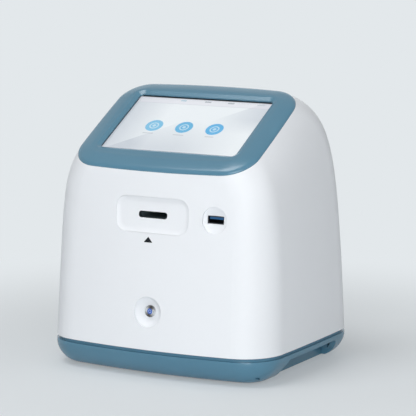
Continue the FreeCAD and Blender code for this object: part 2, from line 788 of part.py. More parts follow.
# Cover: the outer form, cut by a core that leaves walls, posts and bosses.
form = Piece("housing_form")
form_sections = []
for step, share in enumerate(COVER_SHARES):
    section = cover_section("form_%d" % step, share, sized(0))
    sketch = form.sketch(section["place"], "up", section["lean"])
    draw_bulged(sketch, section)
    form_sections.append(sketch)
form.loft(form_sections)

sketch = form.sketch(slot_point(sized(0)), "front", slot_lean)
draw_rounded(sketch, size.recess_width, size.recess_height, size.recess_radius)
form.pocket(sketch, DEEP, "both")

scoop("usb_dish", form, (size.usb_side, usb_y, size.usb_height), slot_lean, size.usb_dish_drop,
      size.usb_dish_depth, size.usb_dish_slope,
      lambda level, inset: draw_circle(level, size.usb_dish_radius - inset))
sketch = form.sketch((size.usb_side, usb_floor_y, size.usb_height), "front")
draw_rectangle(sketch, size.usb_width, size.usb_opening)
form.pocket(sketch, DEEP, "both")

scoop("button_dish", form, (0, button_y, size.button_height), 0, size.button_dish_drop,
      size.button_dish_depth, size.button_dish_slope,
      lambda level, inset: draw_circle(level, size.button_dish_radius - inset))
sketch = form.sketch((0, button_floor_y, size.button_height), "front")
draw_circle(sketch, size.button_body_radius + size.fit_gap)
form.pocket(sketch, DEEP, "both")

sketch = form.sketch((0, rear_seat_y, size.rear_middle), "front")
draw_rounded(sketch, size.rear_width + size.snug_gap * 2,
             size.rear_height + size.snug_gap * 2, size.rear_corner + size.snug_gap)
form.pocket(sketch, DEEP)
sketch = form.sketch((0, rear_seat_y, size.rear_middle), "front")
draw_rectangle(sketch, size.rear_width - rear_ledge_x * 2, size.rear_height - rear_ledge_z * 2)
form.pocket(sketch, DEEP, "both")

sketch = form.sketch(rim_point(size.window_shift, 0), "up", size.screen_tilt)
draw_rounded(sketch, size.window_width + (size.panel_margin + size.snug_gap) * 2,
             size.window_height + (size.panel_margin + size.snug_gap) * 2, size.window_radius)
form.pocket(sketch, DEEP, "both")

sketch = form.sketch(rim_point(0, 0), "up", size.screen_tilt)
peg_x = size.bracket_post_side
peg_y = size.bracket_post_depth / 2
for sign_x, sign_y in CORNERS:
    draw_circle(sketch, size.peg_radius + size.fit_gap, peg_x * sign_x, peg_y * sign_y)
form.pocket(sketch, size.peg_length + size.snug_gap)

sketch = form.sketch(rim_point(size.window_shift, panel_back), "up", size.screen_tilt)
for sign_x, sign_y in CORNERS:
    draw_circle(sketch, size.screw_radius + size.fit_gap, size.bracket_post_side * sign_x,
                size.bracket_post_depth * sign_y)
form.pocket(sketch, -panel_back - size.snug_gap, "back")

sketch = form.sketch((0, rear_seat_y, size.rear_middle), "front")
panel_screw_x = (size.rear_width - rear_ledge_x) / 2
panel_screw_z = (size.rear_height - rear_ledge_z) / 2
for sign_x, sign_z in CORNERS:
    draw_circle(sketch, size.screw_radius + size.fit_gap, panel_screw_x * sign_x,
                panel_screw_z * sign_z)
form.pocket(sketch, size.wall - size.snug_gap, "back")

for sign_x, sign_y in CORNERS:
    place = (size.post_side * sign_x, size.post_depth * sign_y, size.seam_height)
    sketch = form.sketch(place)
    draw_circle(sketch, size.screw_radius + size.fit_gap)
    form.pocket(sketch, size.post_top - size.seam_height - size.wall, "back")

core = Piece("housing_core")
core_sections = []
for step, share in enumerate(COVER_SHARES[:-1]):
    section = cover_section("core_%d" % step, share, size.wall)
    sketch = core.sketch(section["place"], "up", section["lean"])
    draw_bulged(sketch, section)
    core_sections.append(sketch)
sketch = core.sketch(rim_point(0, -size.wall), "up", size.screen_tilt)
draw_bulged(sketch, rim_outline(size.wall))
core_sections.append(sketch)
core.loft(core_sections)
sketch = core.sketch((0, 0, size.seam_height))
draw_bulged(sketch, seam_outline(size.wall))
core.pad(sketch, size.wall, "back")

sketch = core.sketch(slot_point(size.flange_seat), "front", slot_lean)
seat_margin = size.flange_margin + size.wall
draw_rounded(sketch, size.recess_width + seat_margin * 2, size.recess_height + seat_margin * 2,
             size.recess_radius + seat_margin)
core.pocket(sketch, DEEP, "back")

for side, floor_y, height, dish in (
        (size.usb_side, usb_floor_y, size.usb_height, size.usb_dish_radius),
        (sized(0), button_floor_y, size.button_height, size.button_dish_radius)):
    sketch = core.sketch((side, floor_y + size.boss_wall, height), "front")
    draw_circle(sketch, dish + size.boss_wall)
    core.pocket(sketch, DEEP, "back")

sketch = core.sketch((0, rear_seat_y - size.wall, size.rear_middle), "front")
tub_margin = size.snug_gap + size.wall
draw_rounded(sketch, size.rear_width + tub_margin * 2, size.rear_height + tub_margin * 2,
             size.rear_corner + tub_margin)
core.pocket(sketch, DEEP)

for sign_x, sign_y in CORNERS:
    sketch = core.sketch((size.post_side * sign_x, size.post_depth * sign_y, size.post_top))
    draw_circle(sketch, size.post_radius)
    core.pocket(sketch, size.post_top)
    rib_far = size.half_depth - size.wall
    rib_middle = (size.post_depth + rib_far) / 2
    rib_low = size.seam_height + size.spigot_height + size.snug_gap
    sketch = core.sketch((size.post_side * sign_x, rib_middle * sign_y, rib_low))
    draw_rectangle(sketch, size.rib_thickness, rib_far - size.post_depth)
    core.pocket(sketch, size.post_top - rib_low, "back")

for sign_x, sign_y in CORNERS:
    sketch = core.sketch(rim_point(0, panel_back), "up", size.screen_tilt)
    draw_circle(sketch, size.bracket_post_radius, size.bracket_post_side * sign_x,
                size.bracket_post_depth * sign_y + size.window_shift)
    core.pocket(sketch, DEEP, "back")

housing = doc.addObject("Part::Cut", "housing_cut")
housing.Base = form.body
housing.Tool = core.body
keep(housing, "housing_shell")

# Base: a shallow moulded tray with a rounded skirt and a finger recess under each side.
base = Piece("base_body")
base_drop = base_top - size.foot_proud
SKIRT_ANGLES = (0, 22.5, 45, 67.5, 90)
curve = worked("skirt_curve", sized(2) / size.base_curve_power)


def skirt_outline(angle, first_inset, last_inset):
    """The base's outline at an angle round its skirt, from upright to flat."""
    if angle == 90:
        inset, share = last_inset, sized(1)
    elif angle == 0:
        inset, share = first_inset, sized(0)
    else:
        share = power(sine(sized(angle)), curve)
        inset = first_inset + (last_inset - first_inset) * (1 - power(cosine(sized(angle)), curve))
    outline = seam_outline(inset)
    outline["corner"] = blend(size.corner_radius - first_inset, size.base_corner_radius, share)
    return outline, share


skirt = []
for angle in SKIRT_ANGLES:
    outline, share = skirt_outline(angle, sized(0), size.base_inset)
    sketch = base.sketch((0, 0, base_top - base_drop * share))
    draw_bulged(sketch, outline)
    skirt.append(sketch)
base.loft(skirt)
sketch = base.sketch((0, 0, base_top))
draw_bulged(sketch, seam_outline(size.groove_depth))
base.pad(sketch, size.groove_height)
spigot_inset = size.wall + size.snug_gap
sketch = base.sketch((0, 0, size.seam_height))
draw_bulged(sketch, seam_outline(spigot_inset))
base.pad(sketch, size.spigot_height)

hollow_inset = spigot_inset + size.spigot_wall
hollow_drop = base_top - floor_top
hollow = []
for angle in SKIRT_ANGLES:
    outline, share = skirt_outline(angle, hollow_inset, size.base_inset + size.base_floor / 2)
    sketch = base.sketch((0, 0, base_top - hollow_drop * share))
    draw_bulged(sketch, outline)
    hollow.append(sketch)
base.loft(hollow, "SubtractiveLoft")
sketch = base.sketch((0, 0, base_top))
draw_bulged(sketch, seam_outline(hollow_inset))
base.pocket(sketch, DEEP, "back")

grip_roof = size.seam_height - size.grip_drop
for sign in (1, -1):
    middle = (size.grip_back - size.grip_front) / 2
    reach = size.grip_back + size.grip_front + size.grip_wall * 2
    side = size.grip_inner - size.grip_wall
    wide = size.half_width - size.base_inset + size.wall - side
    sketch = base.sketch(((side + wide / 2) * sign, middle, floor_top - size.base_floor / 2))
    draw_rectangle(sketch, wide, reach)
    base.pad(sketch, grip_roof + size.grip_wall - floor_top + size.base_floor / 2)
    wide = size.half_width - hollow_inset + size.spigot_wall - side
    sketch = base.sketch(((side + wide / 2) * sign, middle, grip_roof))
    draw_rectangle(sketch, wide, reach)
    base.pad(sketch, size.grip_wall)
    sketch = base.sketch((size.grip_inner * sign, 0, 0), "side")
    draw_polygon(sketch, [
        (-size.grip_front, -size.foot_proud),
        (size.grip_back, -size.foot_proud),
        (size.grip_back, size.grip_heel_low),
        (size.grip_back - size.grip_knee, size.grip_knee_low),
        (size.grip_back - size.grip_end, grip_roof),
        (size.grip_slant - size.grip_front, grip_roof),
        (-size.grip_front, size.grip_slant_low)])
    base.pocket(sketch, size.half_width, "back" if sign > 0 else "in")

sketch = base.sketch((size.half_width - size.pin_hole_inset, size.pin_hole_end - size.half_depth,
                      size.pin_hole_height), "front")
draw_circle(sketch, size.pin_hole_radius)
base.pocket(sketch, DEEP, "back")

for sign_x, sign_y in CORNERS:
    post_x = size.post_side * sign_x
    post_y = size.post_depth * sign_y
    sketch = base.sketch((post_x, post_y, floor_top))
    draw_circle(sketch, size.post_radius)
    base.pad(sketch, size.seam_height - floor_top)
    sketch = base.sketch((post_x, post_y, size.seam_height))
    draw_circle(sketch, size.screw_radius + size.fit_gap)
    base.pocket(sketch, DEEP)
    sketch = base.sketch((post_x, post_y, size.foot_proud))
    draw_circle(sketch, size.screw_head_radius + size.snug_gap)
    base.pocket(sketch, size.screw_head_height + size.snug_gap, "back")
    sketch = base.sketch((size.foot_side * sign_x, size.foot_depth * sign_y, size.foot_proud))
    draw_circle(sketch, size.foot_radius + size.fit_gap)
    base.pocket(sketch, size.foot_socket_depth, "back")

FRAME_SCREWS = [(size.frame_screw_side * sign, -depth) for sign in (1, -1)
                for depth in (size.frame_screw_front, size.frame_screw_back)]
frame_bottom = worked("frame_bottom", floor_top + size.frame_pad_height)
for screw_x, screw_y in FRAME_SCREWS:
    sketch = base.sketch((screw_x, screw_y, floor_top))
    draw_circle(sketch, size.post_radius)
    base.pad(sketch, size.frame_pad_height)
    sketch = base.sketch((screw_x, screw_y, frame_bottom))
    draw_circle(sketch, size.screw_radius + size.fit_gap)
    base.pocket(sketch, size.frame_pad_height + size.base_floor / 2)
keep(base.body, "base_tray")


def screws(label, places, shank, way=1):
    """Screws with cheese heads: each place is under the head, way 1 has the head on top."""
    made = []
    for x, y, z in places:
        if way == 1:
            head = disc((x, y, z), size.screw_head_radius, size.screw_head_height)
            stem = disc((x, y, z - shank), size.screw_radius, shank)
        else:
            head = disc((x, y, z - size.screw_head_height), size.screw_head_radius,
                        size.screw_head_height)
            stem = disc((x, y, z), size.screw_radius, shank)
        made.append(fuse(head, stem))
    return keep(bundle(*made), label)


head_seat = size.foot_proud + size.screw_head_height + size.snug_gap
screws("base_screws", [(size.post_side * sign_x, size.post_depth * sign_y, head_seat)
                       for sign_x, sign_y in CORNERS],
       size.post_top - size.wall * 2 - head_seat, -1)

feet = []
for sign_x, sign_y in CORNERS:
    place = (size.foot_side * sign_x, size.foot_depth * sign_y, 0)
    feet.append(disc(place, size.foot_radius, size.foot_proud + size.foot_socket_depth))
keep(bundle(*feet), "rubber_feet")

# Bezel: a frame with a rolled edge that covers the cover's rim and holds the glass.
bezel = Piece("bezel_body")
crown = []
for angle in (0, 22.5, 45, 67.5, 90):
    turn = sized(angle)
    out = size.crown_rise * sine(turn)
    sketch = bezel.sketch(rim_point(0, out), "up", size.screen_tilt)
    draw_bulged(sketch, rim_outline(size.crown_width * (1 - cosine(turn))))
    crown.append(sketch)
bezel.loft(crown)
bevel = []
for level in (0, 2):
    out = size.crown_rise + size.bevel_depth * (level - 1)
    growth = size.window_bevel * level
    sketch = bezel.sketch(rim_point(size.window_shift, out), "up", size.screen_tilt)
    draw_rounded(sketch, size.window_width + growth * 2, size.window_height + growth * 2,
                 size.window_radius + growth)
    bevel.append(sketch)
bezel.loft(bevel, "SubtractiveLoft")
sketch = bezel.sketch(rim_point(size.window_shift, size.crown_rise), "up", size.screen_tilt)
draw_rounded(sketch, size.window_width, size.window_height, size.window_radius)
bezel.pocket(sketch, DEEP)
glass_top = worked("glass_top", size.crown_rise - size.glass_recess)
glass_low = worked("glass_low", glass_top - size.glass_thickness)
sketch = bezel.sketch(rim_point(size.window_shift, glass_top), "up", size.screen_tilt)
glass_x = size.window_width + size.glass_margin * 2
glass_y = size.window_height + size.glass_margin * 2
draw_rounded(sketch, glass_x + size.snug_gap * 2, glass_y + size.snug_gap * 2,
             size.window_radius)
bezel.pocket(sketch, DEEP)
sketch = bezel.sketch(rim_point(0, 0), "up", size.screen_tilt)
for sign_x, sign_y in CORNERS:
    draw_circle(sketch, size.peg_radius, peg_x * sign_x, peg_y * sign_y)
bezel.pad(sketch, size.peg_length, "back")
keep(bezel.body, "screen_bezel")


def sloped_plate(label, out, width, height, radius, thickness):
    """A flat piece that lies along the screen, its underside out from the rim's plane."""
    made = Piece(label + "_body")
    sketch = made.sketch(rim_point(size.window_shift, out), "up", size.screen_tilt)
    draw_rounded(sketch, width, height, radius)
    made.pad(sketch, thickness)
    keep(made.body, label)
    return made


sloped_plate("touch_glass", glass_low, glass_x, glass_y, size.window_radius - size.snug_gap,
             size.glass_thickness)
sloped_plate("display_panel", panel_back, size.window_width + size.panel_margin * 2,
             size.window_height + size.panel_margin * 2, size.window_radius - size.snug_gap,
             size.panel_thickness)
bracket_low = panel_back - size.bracket_thickness
bracket_x = size.bracket_post_side * 2 + size.bracket_post_radius * 2
bracket = sloped_plate("display_bracket", bracket_low, bracket_x,
                       size.window_height + size.panel_margin, size.window_radius,
                       size.bracket_thickness)
sketch = bracket.sketch(rim_point(size.window_shift, bracket_low), "up", size.screen_tilt)
draw_rounded(sketch, size.window_width - size.glass_margin * 4,
             size.window_height - size.glass_margin * 4, size.window_radius)
for sign_x, sign_y in CORNERS:
    draw_circle(sketch, size.screw_radius + size.fit_gap, size.bracket_post_side * sign_x,
                size.bracket_post_depth * sign_y)
bracket.pocket(sketch, size.bracket_thickness * 2, "both")

for_bracket = []
shank = size.bracket_thickness - panel_back - size.wall / 2
for sign_x, sign_y in CORNERS:
    made = Piece("bracket_screw")
    side = size.bracket_post_side * sign_x
    along = size.bracket_post_depth * sign_y
    place = rim_point(size.window_shift + along, bracket_low)
    place = (side, place[1], place[2])
    sketch = made.sketch(place, "up", size.screen_tilt)
    draw_circle(sketch, size.screw_head_radius)
    made.pad(sketch, size.screw_head_height, "back")
    sketch = made.sketch(place, "up", size.screen_tilt)
    draw_circle(sketch, size.screw_radius)
    made.pad(sketch, shank)
    for_bracket.append(made.body)
keep(bundle(*for_bracket), "bracket_screws")

# Slide slot: the plate in the recess, and the channel behind it.
def draw_recess(sketch, inset):
    """The slot plate's outline inside the recess, set in by an amount."""
    lost = size.snug_gap + inset * 2
    draw_rounded(sketch, size.recess_width - lost, size.recess_height - lost,
                 size.recess_radius - lost / 2)


surround = Piece("surround_body")
sketch = surround.sketch(slot_point(sized(0)), "front", slot_lean)
draw_recess(sketch, 0)
surround.pad(sketch, size.flange_seat + size.flange_thickness, "back")
scoop("recess", surround, (0, slot_y, size.slot_height), slot_lean, size.recess_drop,
      size.recess_depth, size.recess_slope, draw_recess)
sketch = surround.sketch(slot_point(size.flange_seat), "front", slot_lean)
draw_rounded(sketch, size.recess_width + size.flange_margin * 2,
             size.recess_height + size.flange_margin * 2,
             size.recess_radius + size.flange_margin)
surround.pad(sketch, size.flange_thickness, "back")
sketch = surround.sketch((0, slot_y, size.slot_height), "front")
draw_rounded(sketch, size.slot_width, size.slot_opening, size.slot_corner)
surround.pocket(sketch, DEEP, "both")
keep(surround.body, "slot_surround")

tunnel_low = worked("tunnel_low", size.slot_height - size.slot_opening / 2)
tunnel_high = worked("tunnel_high", size.slot_height + size.slot_opening / 2)
shelf_top = worked("shelf_top", tunnel_low - size.channel_floor)
shelf_low = worked("shelf_low", shelf_top - size.frame_shelf)
lid_top = worked("lid_top", tunnel_high + size.cover_thickness)
plate_back = slot_point(size.flange_seat + size.flange_thickness)
lid_lean = (lid_top - plate_back[2]) * sine(slot_lean) / cosine(slot_lean)
channel_front = worked("channel_front", plate_back[1] + lid_lean + size.channel_gap)
half_slot = size.slot_width / 2
rail_x = size.channel_half_width
lever_slot = size.slot_opening
channel = cut(
    block((-rail_x, rail_x), (channel_front, -size.channel_back), (shelf_top, tunnel_high)),
    block((-half_slot, half_slot), (channel_front - PAST, -size.channel_stop),
          (tunnel_low, tunnel_high + PAST)),
    block((-lever_slot, lever_slot), (-size.channel_stop - PAST, -size.channel_back + PAST),
          (tunnel_low, tunnel_high + PAST)),
    bore((0, -size.optic_axis, shelf_top), size.light_hole_radius, size.channel_floor))
keep(channel, "slide_channel")
lid = cut(
    block((-rail_x, rail_x), (channel_front, -size.channel_back), (tunnel_high, lid_top)),
    bore((0, -size.optic_axis, tunnel_high), size.light_hole_radius, size.cover_thickness))
keep(lid, "channel_cover")

# Slide sensor: a small switch behind the channel, with a lever that the slide pushes back.
lever_pivot_y = worked("lever_pivot_y", -size.channel_back + size.rod_radius)
lever_pivot_z = worked("lever_pivot_z", tunnel_low - size.channel_floor / 2)
switch_half = size.slot_opening / 2 + size.wall
switch_inner = switch_half - size.sensor_wall
sensor = cut(
    block((-switch_half, switch_half), (-size.channel_back, size.channel_back),
          (shelf_top, tunnel_high)),
    block((-switch_inner, switch_inner), (-size.channel_back - PAST, size.spigot_wall),
          (shelf_top - PAST, tunnel_high + PAST)))
keep(sensor, "slide_switch_body")
pin_radius = worked("pin_radius", size.screw_radius / 2)
lever = Piece("lever_body")
sketch = lever.sketch((0, lever_pivot_y, lever_pivot_z), "side")
half_lever = size.lever_thickness / 2
lever_tip = -size.channel_stop - size.lever_reach - lever_pivot_y
lever_low = tunnel_low - lever_pivot_z + size.snug_gap
lever_high = lever_low + size.lever_thickness
draw_polygon(sketch, [(-half_lever, 0), (half_lever, 0), (half_lever, lever_high),
                      (lever_tip, lever_high), (lever_tip, lever_low),
                      (-half_lever, lever_low)])
lever.pad(sketch, size.lever_width, "both")
sketch = lever.sketch((0, lever_pivot_y, lever_pivot_z), "side")
draw_circle(sketch, pin_radius)
lever.pad(sketch, (switch_inner - size.snug_gap) * 2, "both")
keep(lever.body, "slide_switch_lever")

# Optics frame: one bent plate form, foot and shelf joined by a column.
frame = Piece("frame_body")
foot_top = worked("foot_top", frame_bottom + size.frame_plate)
sketch = frame.sketch((0, 0, 0), "side")
column_y = size.frame_column - size.frame_back - size.frame_column * 2
draw_polygon(sketch, [
    (-size.frame_front, frame_bottom), (-size.frame_back, frame_bottom),
    (-size.frame_back, shelf_top), (-size.frame_front, shelf_top),
    (-size.frame_front, shelf_low), (column_y, shelf_low),
    (column_y, foot_top), (-size.frame_front, foot_top)])
frame.pad(sketch, size.frame_half_width * 2, "both")
sketch = frame.sketch((0, 0, shelf_top))
draw_circle(sketch, size.barrel_radius + size.barrel_gap, 0, -size.optic_axis)
frame.pocket(sketch, size.frame_shelf + PAST)
sketch = frame.sketch((0, 0, shelf_top))
for sign in (1, -1):
    draw_circle(sketch, size.rod_radius + size.fit_gap, size.rod_side * sign, -size.optic_axis)
frame.pocket(sketch, shelf_top - frame_bottom + PAST)
sketch = frame.sketch((0, 0, shelf_low))
draw_circle(sketch, size.bearing_radius + size.fit_gap, 0, -size.screw_axis)
frame.pocket(sketch, size.bearing_height, "back")
for screw_x, screw_y in FRAME_SCREWS:
    sketch = frame.sketch((screw_x, screw_y, foot_top))
    draw_circle(sketch, size.screw_radius + size.fit_gap)
    frame.pocket(sketch, size.frame_plate + PAST)
sketch = frame.sketch((0, -size.frame_back, (foot_top + shelf_low) / 2), "front")
draw_rounded(sketch, size.frame_half_width, (shelf_low - foot_top) / 2, size.barrel_radius)
frame.pocket(sketch, DEEP, "both")
keep(frame.body, "optics_frame")
screws("frame_screws", [(x, y, foot_top) for x, y in FRAME_SCREWS],
       size.frame_plate + size.frame_pad_height + size.snug_gap)

rods = [disc((size.rod_side * sign, -size.optic_axis, frame_bottom), size.rod_radius,
             shelf_top - frame_bottom) for sign in (1, -1)]
keep(bundle(*rods), "guide_rods")

half_motor = size.motor_size / 2
motor_top = worked("motor_top", foot_top + size.motor_length)
motor = cut(
    block((-half_motor, half_motor), (-size.screw_axis - half_motor, half_motor - size.screw_axis),
          (foot_top, motor_top)),
    disc((0, -size.screw_axis, motor_top - size.motor_length / 2),
         size.rod_radius + size.snug_gap, size.motor_length))
keep(motor, "focus_motor")
screw_low = motor_top - size.motor_length / 2 + size.snug_gap
keep(disc((0, -size.screw_axis, screw_low), size.rod_radius,
          shelf_low + size.bearing_height - size.snug_gap - screw_low), "lead_screw")
keep(cut(disc((0, -size.screw_axis, shelf_low), size.bearing_radius, size.bearing_height),
         bore((0, -size.screw_axis, shelf_low), size.rod_radius + size.fit_gap,
              size.bearing_height)), "screw_bearing")

# Focus carriage: the block on the guide rods that carries the camera and the objective.
carriage_top = worked("carriage_top", size.carriage_height + size.carriage_thickness)
light_bore = size.camera_size / 4
carriage = cut(
    block((-size.carriage_half_width, size.carriage_half_width),
          (-size.carriage_front, -size.carriage_back), (size.carriage_height, carriage_top)),
    bore((0, -size.optic_axis, size.carriage_height), light_bore, size.carriage_thickness),
    bore((0, -size.screw_axis, size.carriage_height), size.nut_radius + size.fit_gap,
         size.carriage_thickness),
    *[bore((size.rod_side * sign, -size.optic_axis, size.carriage_height),
           size.rod_radius + size.fit_gap, size.carriage_thickness) for sign in (1, -1)])
keep(carriage, "focus_carriage")
nut = cut(
    fuse(disc((0, -size.screw_axis, size.carriage_height), size.nut_radius,
              size.carriage_thickness),
         disc((0, -size.screw_axis, carriage_top), size.nut_flange_radius, size.nut_flange)),
    bore((0, -size.screw_axis, size.carriage_height), size.rod_radius + size.fit_gap,
         size.carriage_thickness + size.nut_flange))
keep(nut, "lead_nut")

half_camera = size.camera_size / 2
camera_low = size.carriage_height - size.camera_depth
sensor_seat = size.carriage_height - size.camera_depth / 2
camera = cut(
    block((-half_camera, half_camera),
          (-size.optic_axis - half_camera, half_camera - size.optic_axis),
          (camera_low, size.carriage_height)),
    disc((0, -size.optic_axis, sensor_seat), light_bore + size.wall, size.camera_depth))
keep(camera, "camera_housing")
half_chip = size.camera_chip / 2
keep(block((-half_chip, half_chip), (-size.optic_axis - half_chip, half_chip - size.optic_axis),
           (sensor_seat, sensor_seat + size.glass_thickness)), "camera_sensor")

barrel = Piece("barrel_body")
sketch = barrel.sketch((0, -size.optic_axis, carriage_top), "front")
waist_radius = size.barrel_radius - size.barrel_step
draw_polygon(sketch, [
    (size.lens_radius - size.lens_seat, 0),
    (size.barrel_radius, 0),
    (size.barrel_radius, size.barrel_foot),
    (waist_radius, size.barrel_foot + size.barrel_step),
    (waist_radius, size.barrel_length - size.barrel_nose),
    (size.lens_radius + size.lens_rim, size.barrel_length),
    (size.lens_radius, size.barrel_length),
    (size.lens_radius, size.barrel_length - size.glass_thickness),
    (size.lens_radius - size.lens_seat, size.barrel_length - size.glass_thickness)])
barrel.revolve(sketch)
keep(barrel.body, "objective_barrel")
lens_low = carriage_top + size.barrel_length - size.glass_thickness
keep(disc((0, -size.optic_axis, lens_low), size.lens_radius - size.fit_gap,
          size.glass_thickness - size.fit_gap), "objective_lens")

# Lamp above the slide: a tube with a condenser lens and a board across its top.
ledge = size.wall
lamp = cut(
    disc((0, -size.optic_axis, lid_top), size.lamp_radius, size.lamp_height),
    bore((0, -size.optic_axis, lid_top), size.lamp_bore - size.lamp_ledge, ledge),
    disc((0, -size.optic_axis, lid_top + ledge), size.lamp_bore, size.lamp_height))
keep(lamp, "lamp_housing")
keep(disc((0, -size.optic_axis, lid_top + ledge), size.lamp_bore - size.fit_gap,
          size.condenser_thickness), "condenser_lens")
lamp_top = lid_top + size.lamp_height
keep(fuse(disc((0, -size.optic_axis, lamp_top), size.lamp_radius, size.circuit_board),
          disc((0, -size.optic_axis, lamp_top - size.wall), size.spigot_wall, size.wall)),
     "lamp_board")

# USB socket in its dish, on a small board.
usb_back = usb_floor_y + size.usb_length
shell_x = size.usb_width / 2 - size.snug_gap / 2
shell_z = size.usb_opening / 2 - size.snug_gap / 2
usb = cut(
    block((size.usb_side - shell_x, size.usb_side + shell_x), (usb_floor_y, usb_back),
          (size.usb_height - shell_z, size.usb_height + shell_z)),
    block((size.usb_side - shell_x + size.usb_sheet, size.usb_side + shell_x - size.usb_sheet),
          (usb_floor_y - PAST, usb_back - size.usb_sheet),
          (size.usb_height - shell_z + size.usb_sheet, size.usb_height + shell_z - size.usb_sheet)))
keep(usb, "usb_shell")
tongue_x = shell_x - size.usb_sheet * 2
tongue_top = size.usb_height + shell_z - size.usb_sheet - size.snug_gap
keep(block((size.usb_side - tongue_x, size.usb_side + tongue_x),
           (usb_floor_y + size.usb_sheet * 2, usb_back - size.usb_sheet),
           (tongue_top - size.glass_thickness, tongue_top)), "usb_tongue")
usb_low = size.usb_height - shell_z
keep(block((size.usb_side - shell_x - size.wall, size.usb_side + shell_x + size.wall),
           (usb_floor_y + size.boss_wall + size.snug_gap, usb_back + size.usb_length),
           (usb_low - size.circuit_board, usb_low)), "usb_board")

# Power button: a metal body through the cover, a nut behind it and the part that is pressed.
button_at = size.button_height
head_front = button_floor_y - size.button_head_height
button_body = cut(
    fuse(disc((0, head_front, button_at), size.button_head_radius, size.button_head_height, "y"),
         disc((0, button_floor_y, button_at), size.button_body_radius, size.button_body_length,
              "y")),
    disc((0, head_front - PAST, button_at), size.button_cap_radius + size.fit_gap,
         size.button_body_length, "y"))
keep(button_body, "button_barrel")
cap_front = head_front - size.snug_gap
cap_length = size.button_body_length - size.button_travel * 3
keep(cut(disc((0, cap_front, button_at), size.button_cap_radius, cap_length, "y"),
         disc((0, cap_front - PAST, button_at), size.button_lens_radius,
              size.button_lens_length + PAST, "y")), "button_cap")
keep(disc((0, cap_front, button_at), size.button_lens_radius - size.fit_gap,
          size.button_lens_length, "y"), "button_lens")
nut_front = button_floor_y + size.boss_wall
keep(cut(disc((0, nut_front, button_at), size.button_nut_radius, size.button_nut_height, "y"),
         bore((0, nut_front, button_at), size.button_body_radius + size.fit_gap,
              size.button_nut_height, "y")), "button_nut")
contact_front = button_floor_y + size.button_body_length
keep(disc((0, contact_front, button_at), size.button_body_radius - size.snug_gap, size.wall, "y"),
     "button_contacts")

# Main board on its standoffs, with a finned heat sink.
board_low = worked("board_low", floor_top + size.standoff_height)
board_top = worked("board_top", board_low + size.circuit_board)
inset = size.standoff_radius + size.board_edge
BOARD_SCREWS = [((size.board_half_width - inset) * sign, y) for sign in (1, -1)
                for y in (size.board_front + inset, size.board_back - inset)]
board = cut(
    block((-size.board_half_width, size.board_half_width), (size.board_front, size.board_back),
          (board_low, board_top)),
    *[bore((x, y, board_low), size.screw_radius + size.fit_gap, size.circuit_board)
      for x, y in BOARD_SCREWS])
keep(board, "main_board")
standoffs = [cut(disc((x, y, floor_top), size.standoff_radius, size.standoff_height),
                 disc((x, y, floor_top + size.standoff_floor), size.screw_radius + size.fit_gap,
                      size.standoff_height)) for x, y in BOARD_SCREWS]
keep(bundle(*standoffs), "board_standoffs")
screws("board_screws", [(x, y, board_top) for x, y in BOARD_SCREWS],
       size.standoff_height - size.standoff_floor)

sink = Piece("sink_body")
half_sink = size.sink_size / 2
board_middle = (size.board_front + size.board_back) / 2
sketch = sink.sketch((0, board_middle, board_top))
draw_rectangle(sketch, size.sink_size, size.sink_size)
sink.pad(sketch, size.wall)
sketch = sink.sketch((-half_sink + size.fin_thickness / 2, board_middle, board_top + size.wall))
draw_rectangle(sketch, size.fin_thickness, size.sink_size)
fin = sink.pad(sketch, size.sink_height - size.wall)
FIN_COUNT = 9
fins = sink.body.newObject("PartDesign::LinearPattern", "sink_fins")
fins.Originals = [fin]
fins.Direction = (sketch, ["H_Axis"])
fins.Occurrences = FIN_COUNT
fins.Length = size.sink_size.value - size.fin_thickness.value
tie(fins, "Length", size.sink_size - size.fin_thickness)
sink.body.Tip = fins
keep(sink.body, "heat_sink")

# Rear panel with its vent, the fan behind it, the inlet and the switch.
rear = Piece("rear_body")
sketch = rear.sketch((0, size.rear_face, size.rear_middle), "front")
draw_rounded(sketch, size.rear_width, size.rear_height, size.rear_corner)
rear.pad(sketch, size.rear_sheet)
VENT_COUNT = 9
first_vent = size.rear_middle - size.vent_pitch * ((VENT_COUNT - 1) / 2)
sketch = rear.sketch((fan_x, size.rear_face, first_vent), "front")
draw_rounded(sketch, size.vent_width, size.vent_slot, size.vent_slot / 2 - size.snug_gap)
vent = rear.pocket(sketch, DEEP, "both")
vents = rear.body.newObject("PartDesign::LinearPattern", "vent_slots")
vents.Originals = [vent]
vents.Direction = (sketch, ["V_Axis"])
vents.Occurrences = VENT_COUNT
vents.Length = size.vent_pitch.value * (VENT_COUNT - 1)
tie(vents, "Length", size.vent_pitch * (VENT_COUNT - 1))
rear.body.Tip = vents
sketch = rear.sketch((plug_x, size.rear_face, size.inlet_height), "front")
draw_circle(sketch, size.inlet_radius + size.fit_gap)
rear.pocket(sketch, DEEP, "both")
sketch = rear.sketch((plug_x, size.rear_face, size.switch_height), "front")
draw_rectangle(sketch, size.switch_width - size.wall, size.switch_tall - size.wall)
rear.pocket(sketch, DEEP, "both")
sketch = rear.sketch((0, size.rear_face, size.rear_middle), "front")
for sign_x, sign_z in CORNERS:
    draw_circle(sketch, size.screw_radius + size.fit_gap, panel_screw_x * sign_x,
                panel_screw_z * sign_z)
rear.pocket(sketch, DEEP, "both")
keep(rear.body, "rear_panel")

panel_screws = []
for sign_x, sign_z in CORNERS:
    x = panel_screw_x * sign_x
    z = size.rear_middle + panel_screw_z * sign_z
    panel_screws.append(fuse(
        disc((x, size.rear_face, z), size.screw_head_radius, size.screw_head_height, "y"),
        disc((x, rear_seat_y - size.wall / 2, z), size.screw_radius,
             size.rear_sheet + size.wall / 2, "y")))
keep(bundle(*panel_screws), "panel_screws")

